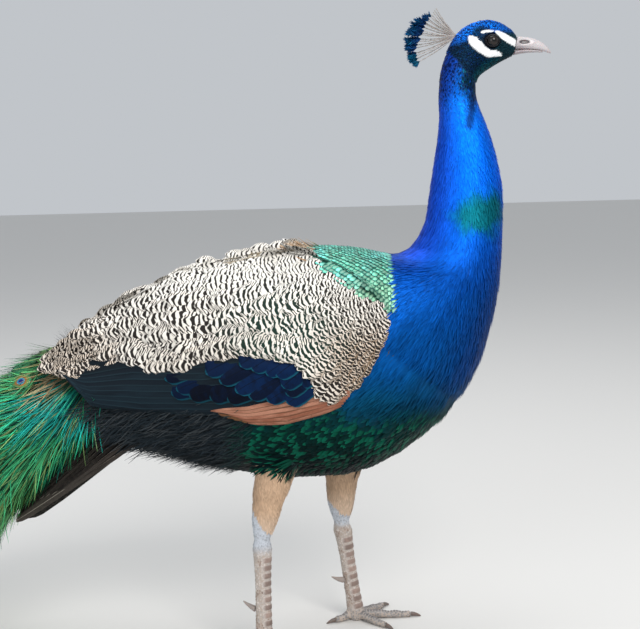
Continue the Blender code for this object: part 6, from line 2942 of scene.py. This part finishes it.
    def _core(self) -> None:
        """A dark inside under the feathers, so that no gap shows through the wing."""
        mesh = smooth_copy(self.nodes, 0.0030, 0.0006, 6)
        points, normals = points_of(mesh), normals_of(mesh)
        points -= normals * 0.0034
        points[:, 1] -= self.side.value * 0.0035
        move_to(mesh, points)
        tint = np.tile((0.006, 0.010, 0.018), (len(points), 1))
        primary = height_on(self.primaries_upper, points[:, 0] - STANCE[0]) - 0.002 > points[:, 2]
        tint[primary & (points[:, 0] - STANCE[0] > -0.145)] = (0.16, 0.07, 0.03)
        paint(mesh, tint)
        piece = add_object(f"quill_core_{self.side.word}", mesh)
        dress(piece, SkinFinish("quill_core_skin").material())
        settle(piece, "quill_blue_black")


@dataclass
class Tail:
    """The short tail under the train: stiff grey-brown feathers in a low fan."""

    stations: tuple[tuple[tuple[float, float], tuple[float, float], float], ...] = (
        ((-0.2815, 0.3475), (-0.2440, 0.2905), 0.0400), ((-0.3225, 0.2960), (-0.2960, 0.2600), 0.0480),
        ((-0.3640, 0.2530), (-0.3450, 0.2300), 0.0550), ((-0.4060, 0.2110), (-0.3960, 0.1985), 0.0600),
        ((-0.4380, 0.1810), (-0.4340, 0.1750), 0.0610),
    )
    pairs: int = 7

    def build(self) -> None:
        """Makes the feathers."""
        dice = np.random.default_rng(221)
        rows, columns = 18, 5
        place = np.linspace(0, 1, rows)
        shares = np.interp(place, (0, 0.15, 0.7, 0.9, 0.97, 1.0), (0.5, 0.8, 1.0, 0.90, 0.60, 0.25))
        table = np.array([(*upper, *lower, half) for upper, lower, half in self.stations])
        sheets = Sheets(columns, rows)
        for side in SIDES:
            for number in reversed(range(self.pairs)):
                share = number / (self.pairs - 1)
                line = smooth_curve(table, place * (len(table) - 1) * (0.93 - 0.03 * share))
                level = 0.05 + 0.80 * share
                flat = line[:, 0:2] * (1 - level) + line[:, 2:4] * level
                flat[:, 1] += 0.008 * share * place
                reach = line[:, 4] * (0.07 + 0.70 * share**0.9)
                centre = np.stack([flat[:, 0], side.value * reach, flat[:, 1]], 1)
                along = unit(np.gradient(centre, axis=0))
                lean = math.radians(10 + 26 * share)
                across = (np.array((0.0, side.value * math.cos(lean), 0.0))
                          + np.array((0.30, 0.0, -0.60)) * math.sin(lean))
                across = unit(across - along * (along * across).sum(axis=1, keepdims=True))
                up = np.cross(along, across) * -side.value
                up *= np.where(up[:, 2:] + up[:, :1] * -0.5 < 0, -1.0, 1.0)
                edge = np.linspace(-1, 1, columns)
                width = 0.0245 - 0.004 * share
                grid = (ribbon(centre, across, width * shares / 2, columns)
                        + up[:, None] * (0.0012 * (1 - edge**2))[None, :, None])
                sheets.add(grid.reshape(-1, 3) + STANCE, np.repeat(up, columns, axis=0), (1, 1, 1), dice.random())
            # Darker copies of the tail feathers fill in between the tail and the barbs that hang over it: painted
            # shade.
            for number in range(8):
                level = 0.75 - 0.18 * number
                line = smooth_curve(table, place * (len(table) - 1) * 0.86)
                flat = line[:, 0:2] * (1 - level) + line[:, 2:4] * level
                centre = np.stack([flat[:, 0], side.value * line[:, 4] * (0.30 - 0.03 * number), flat[:, 1]], 1)
                along = unit(np.gradient(centre, axis=0))
                across = unit(np.cross(along, np.array((0.0, 1.0, 0.0))) * 0.8 + np.array((0.0, 0.6, 0.0)))
                grid = ribbon(centre, across, 0.016 * shares, columns)
                sheets.add(grid.reshape(-1, 3) + STANCE, np.array((0.0, -1.0, 0.0)), (0.25, 0.3, 0.3), dice.random())
            # Dark coverts fill in over the tail's root: darker copies of the tail feathers, painted shade.
            for number in range(5):
                share = number / 4
                line = smooth_curve(table, (place * 0.46) * (len(table) - 1))
                centre = np.stack([line[:, 0] - 0.022 * place, side.value * line[:, 4] * (0.10 + 0.60 * share),
                                   line[:, 1] + 0.006 + (0.012 - 0.006 * share) * np.sin(place * math.pi)], 1)
                grid = ribbon(centre, np.array(((0.0, 1.0, 0.0),)), 0.016 * shares, columns)
                sheets.add(grid.reshape(-1, 3) + STANCE, np.array((0.0, 0.0, 1.0)), (0.3, 0.3, 0.3), dice.random())
        finish = FlightFinish("tail_quill", (0.018, 0.015, 0.014), (0.050, 0.042, 0.037), (0.10, 0.085, 0.07), 0.4,
                              shaft=(0.36, 0.32, 0.27), shaft_width=0.035, mottle=0.3, metallic=0.0, roughness=0.6)
        settle(sheets.build("tail_feathers", finish.material()), "tail_brown", "tail_rectrices")


@dataclass
class Legs:
    """Plates and small scales over the shanks and toes, and the horn of the claws and spurs."""

    skin: Skin
    feet: dict[Side, tuple[float, float]] = field(default_factory=lambda: {Side.RIGHT: (-0.0880, -0.0600),
                                                                           Side.LEFT: (0.0430, 0.0600)})
    hocks: dict[Side, tuple[float, float, float]] = field(default_factory=lambda: {
        Side.RIGHT: (-0.0875, -0.0560, 0.1560), Side.LEFT: (0.0235, 0.0560, 0.1440)})
    toes: dict[str, tuple[float, float]] = field(default_factory=lambda: {
        "middle": (2.0, 0.094), "inner": (-43.0, 0.070), "outer": (46.0, 0.072), "hallux": (-158.0, 0.048)})

    def __post_init__(self) -> None:
        """Gathers the skin's surface."""
        self.tree = search_tree(self.skin.points, triangles_of(self.skin.mesh))

    def _plates(self, sheets: Sheets, start: Array, end: Array, front: Array, half_angle: float, height: float,
                rise: float, tint: Colour, pale: Colour, dice: np.random.Generator) -> None:
        """A row of plates along a limb.

        Args:
            sheets: Takes the plates.
            start: Where the row starts on the limb's axis.
            end: Where it ends.
            front: The way the plates face.
            half_angle: How far each plate reaches round the limb, in radians.
            height: The height of one plate.
            rise: How far a plate bulges.
            tint: The colour of the plates' middles.
            pale: The colour of their borders.
            dice: Gives each plate its own shade.
        """
        axis = end - start
        length = float(np.linalg.norm(axis))
        axis = axis / length
        front = unit(front - axis * (front * axis).sum())
        across = np.cross(axis, front)
        count = max(1, int(length / height))
        u, v = np.meshgrid(np.linspace(0, 1, sheets.rows), np.linspace(-1, 1, sheets.columns), indexing="ij")
        u, v = u.ravel(), v.ravel()
        bulge = rise * (1 - (2 * u - 1) ** 4) * (1 - v**4) + 0.0003 * u - 0.0002
        for number in range(count):
            at = (number + 0.04 + 0.94 * u) / count * length
            centre = start + axis * at[:, None]
            out = front * np.cos(v * half_angle)[:, None] + across * np.sin(v * half_angle)[:, None]
            points, missed = np.empty((len(u), 3)), False
            for index in range(len(u)):
                hit, *_ = self.tree.ray_cast(Vector(centre[index] + out[index] * 0.022), Vector(-out[index]), 0.022)
                if hit is None:
                    missed = True
                    break
                points[index] = np.array(hit) + out[index] * bulge[index]
            if not missed:
                # Each plate is darkest in its middle.
                heart = (smoothstep(1.0, 0.45, np.abs(v)) * smoothstep(1.0, 0.45, np.abs(2 * u - 1)))[:, None]
                colours = np.array(pale) * (1 - heart) + np.array(tint) * (0.7 + 0.6 * dice.random()) * heart
                sheets.add(points, out, colours, dice.random())

    def plates(self) -> None:
        """The ladder of plates down each shank and along each toe."""
        dice = np.random.default_rng(231)
        shanks, toes = Sheets(9, 5), Sheets(7, 5)
        for side in SIDES:
            foot = np.array((*self.feet[side], 0.0)) + STANCE
            hock = np.array(self.hocks[side]) + STANCE
            axis = hock - foot
            top, low = foot + axis * 0.90, foot + axis * 0.12
            front = np.array((1.0, -0.95 if side is Side.LEFT else -0.40, 0.0))
            self._plates(shanks, top, low, front, 1.25, 0.0108, 0.0012, (0.27, 0.195, 0.165), (0.56, 0.50, 0.46), dice)
            for name, (bearing, length) in self.toes.items():
                turn = math.radians(bearing)
                way = np.array((math.cos(turn), side.value * math.sin(turn), 0.0))
                middle = foot * (1, 1, 0) + np.array((0, 0, 0.0050))
                claw_room = 0.020 if name != "hallux" else 0.016
                self._plates(toes, middle + way * 0.010 + np.array((0, 0, 0.002)), middle + way * (length - claw_room),
                             np.array((0.0, 0.0, 1.0)), 0.95, 0.0042, 0.0007, (0.17, 0.155, 0.150), (0.38, 0.36, 0.35),
                             dice)
        finish = ScuteFinish().material()
        settle(shanks.build("shank_plates", finish), "scute_grey")
        settle(toes.build("toe_plates", finish), "scute_grey")

    def scales(self) -> None:
        """Small scales over the rest of the shanks and toes."""
        self.small = PlumeSet("leg_scales", Plume(Outline.SCALE, 2, 0.22, 0.0))
        skin = self.skin
        finish = ScuteFinish("small_leg_scales").material()
        for number, side in enumerate(SIDES):
            for part, spacing, length in (("tarsus", 0.0024, 0.0033), ("toe", 0.0026, 0.0034)):
                ground = skin.is_region(f"{part}_{side.word}") & (skin.points[:, 2] > 0.0015)
                if part == "tarsus":
                    ground |= (skin.is_region(f"thigh_{side.word}")
                               & (skin.points[:, 2] < sock_edge(skin.points - STANCE) + 0.006))
                points, normals = sow(skin.part(ground), spacing, 241 + number)
                foot = np.array((*self.feet[side], 0.0)) + STANCE
                if part == "tarsus":
                    lie = np.tile((0.0, 0.0, -1.0), (len(points), 1))
                else:
                    lie = unit((points - foot) * (1, 1, 0) + 1e-6)

                def tints(places: Array, chance: Array, part: str = part) -> tuple[Array, Array]:
                    """Pinkish cream on the shanks, bluish at the hocks, grey on the toes."""
                    tip = np.tile((0.56, 0.50, 0.46) if part == "tarsus" else (0.30, 0.285, 0.28), (len(places), 1))
                    if part == "tarsus":
                        tip = blend(tip, (0.30, 0.20, 0.15), (cloudy(places, 0.009, 7) > 0.62) * 0.7)
                        tip = blend(tip, BARE_HOCK, smoothstep(0.140, 0.158, places[:, 2]))
                        tip = blend(tip, (0.32, 0.30, 0.29), smoothstep(0.030, 0.006, places[:, 2]))
                    tip = tip * (0.8 + 0.4 * chance)[:, None]
                    return tip * 0.75, tip

                roots = lay_roots(points - normals * 0.0002, normals, lie, length, length * 0.85, 0.06, tints,
                                  245 + number, 0.08, roll=0.02)
                settle(plant(f"scales_{part}_{side.word}", roots, self.small, finish), "scute_grey")

    def _horn(self, name: str, finish: bpy.types.Material, slot: str, *nodes: str) -> None:
        """A piece of plain horn in the shape of some nodes, in their place.

        Args:
            name: The piece's name.
            finish: Its material.
            slot: The record's material slot.
            nodes: The nodes.
        """
        piece = add_object(name, smooth_copy(nodes, 0.0007, 0.0003, 5))
        paint(piece.data, np.ones((len(piece.data.vertices), 3)))
        dress(piece, finish)
        settle(piece, slot, *nodes)

    def horn(self) -> None:
        """The claws and the spurs."""
        grain = (300.0, 300.0, 300.0)
        claw = HornFinish("claw_horn", (0.16, 0.125, 0.105), (0.035, 0.028, 0.026), grain, 0.40).material()
        for side in SIDES:
            word = side.word
            self._horn(f"claws_{word}", claw, "claw_brown", *(f"claw_{word}_{toe}" for toe in self.toes))
            spur = HornFinish(f"spur_horn_{word}", (0.36, 0.31, 0.28), (0.16, 0.13, 0.12), grain, 0.45).material()
            self._horn(f"spur_horn_{word}", spur, "horn", f"spur_{word}")


# ---------------------------------------------------------------------------------------------- studio


@dataclass(frozen=True)
class Studio:
    """Pale floor, soft lights and the camera."""

    eye: tuple[float, float, float] = (0.702, -1.640, 0.678)
    pitch: float = 7.55  # degrees down
    roll: float = 1.45  # degrees
    lens: float = 67.84  # millimetres
    sensor: float = 36.0  # millimetres

    def floor(self) -> None:
        """A large plain floor."""
        mesh = new_mesh("floor", np.array(((-9, -6, 0), (9, -6, 0), (9, 14, 0), (-9, 14, 0)), float),
                        [np.array([[0, 1, 2, 3]])])
        floor = add_object("floor", mesh)
        dress(floor, FloorFinish().material())

    def _lamp(self, name: str, place: tuple[float, float, float], target: tuple[float, float, float], size: float,
              power: float, colour: Colour) -> None:
        """One soft square lamp.

        Args:
            name: The lamp's name.
            place: Where it stands.
            target: What it points at.
            size: The length of its side.
            power: Its power in watts.
            colour: The colour of its light.
        """
        data = bpy.data.lights.new(name, "AREA")
        data.size, data.energy, data.color = size, power, colour
        lamp = bpy.data.objects.new(name, data)
        lamp.location = place
        lamp.rotation_euler = (Vector(target) - Vector(place)).to_track_quat("-Z", "Y").to_euler()
        bpy.context.scene.collection.objects.link(lamp)

    def lights(self) -> None:
        """A pale sky all round, and large lamps before and above the bird."""
        world = bpy.data.worlds.new("studio")
        bpy.context.scene.world = world
        world.use_nodes = True
        background = world.node_tree.nodes["Background"]
        background.inputs["Color"].default_value = (0.86, 0.90, 0.95, 1.0)
        background.inputs["Strength"].default_value = 0.62
        target = (0.70, 0.0, 0.50)
        self._lamp("key", (1.7, -2.4, 2.6), target, 1.6, 70.0, (1.0, 0.97, 0.93))
        self._lamp("fill", (-1.2, -2.6, 1.5), target, 2.2, 26.0, (0.93, 0.96, 1.0))
        self._lamp("top", (0.4, 0.6, 3.2), target, 2.4, 40.0, (1.0, 1.0, 1.0))

    def camera(self) -> None:
        """The camera, level with the upper neck and tilted a little down."""
        pitch, roll = math.radians(self.pitch), math.radians(self.roll)
        right, ahead = Vector((1, 0, 0)), Vector((0, math.cos(pitch), -math.sin(pitch)))
        up = right.cross(ahead)
        right, up = right * math.cos(roll) - up * math.sin(roll), up * math.cos(roll) + right * math.sin(roll)
        data = bpy.data.cameras.new("camera")
        data.lens, data.sensor_width, data.sensor_fit = self.lens, self.sensor, "HORIZONTAL"
        data.clip_start, data.clip_end = 0.05, 60.0
        camera = bpy.data.objects.new("camera", data)
        camera.matrix_world = Matrix((
            (right.x, up.x, -ahead.x, self.eye[0]), (right.y, up.y, -ahead.y, self.eye[1]),
            (right.z, up.z, -ahead.z, self.eye[2]), (0, 0, 0, 1)))
        bpy.context.scene.collection.objects.link(camera)
        bpy.context.scene.camera = camera
        bpy.context.scene.view_settings.view_transform = "Standard"


def main() -> None:
    """Builds the bird's looks in order, then the studio."""
    logging.basicConfig(level=logging.INFO, format="%(relativeCreated)7d ms %(message)s")
    skin = Skin()
    settle(skin.build(), "cobalt_neck", *skin.names)
    LOG.info("head and face")
    body = BodyCoats(skin)
    body.head()
    body.neck()
    body.breast()
    body.vent()
    body.thighs()
    LOG.info("back and wings")
    back = BackCoats(skin)
    back.mantle()
    back.barred()
    back.shoulder_tuft()
    LOG.info("train")
    train = Train()
    train.core()
    train.coat()
    train.eyespots()
    train.root_scales()
    LOG.info("eyes, bill, crest, quills and legs")
    Eyes().build()
    Bill().build()
    crest = Crest()
    crest.build()
    for side in SIDES:
        Quills(side).build()
    Tail().build()
    legs = Legs(skin)
    legs.plates()
    legs.scales()
    legs.horn()
    for plumes in (body.locks, body.belly_scales, body.scales, body.strands, back.scales, back.broad, back.strands,
                   train.barbs, train.scales, train.discs, crest.barbs, legs.small):
        plumes.clear()
    LOG.info("studio")
    studio = Studio()
    studio.floor()
    studio.lights()
    studio.camera()


if __name__ == "__main__":
    main()
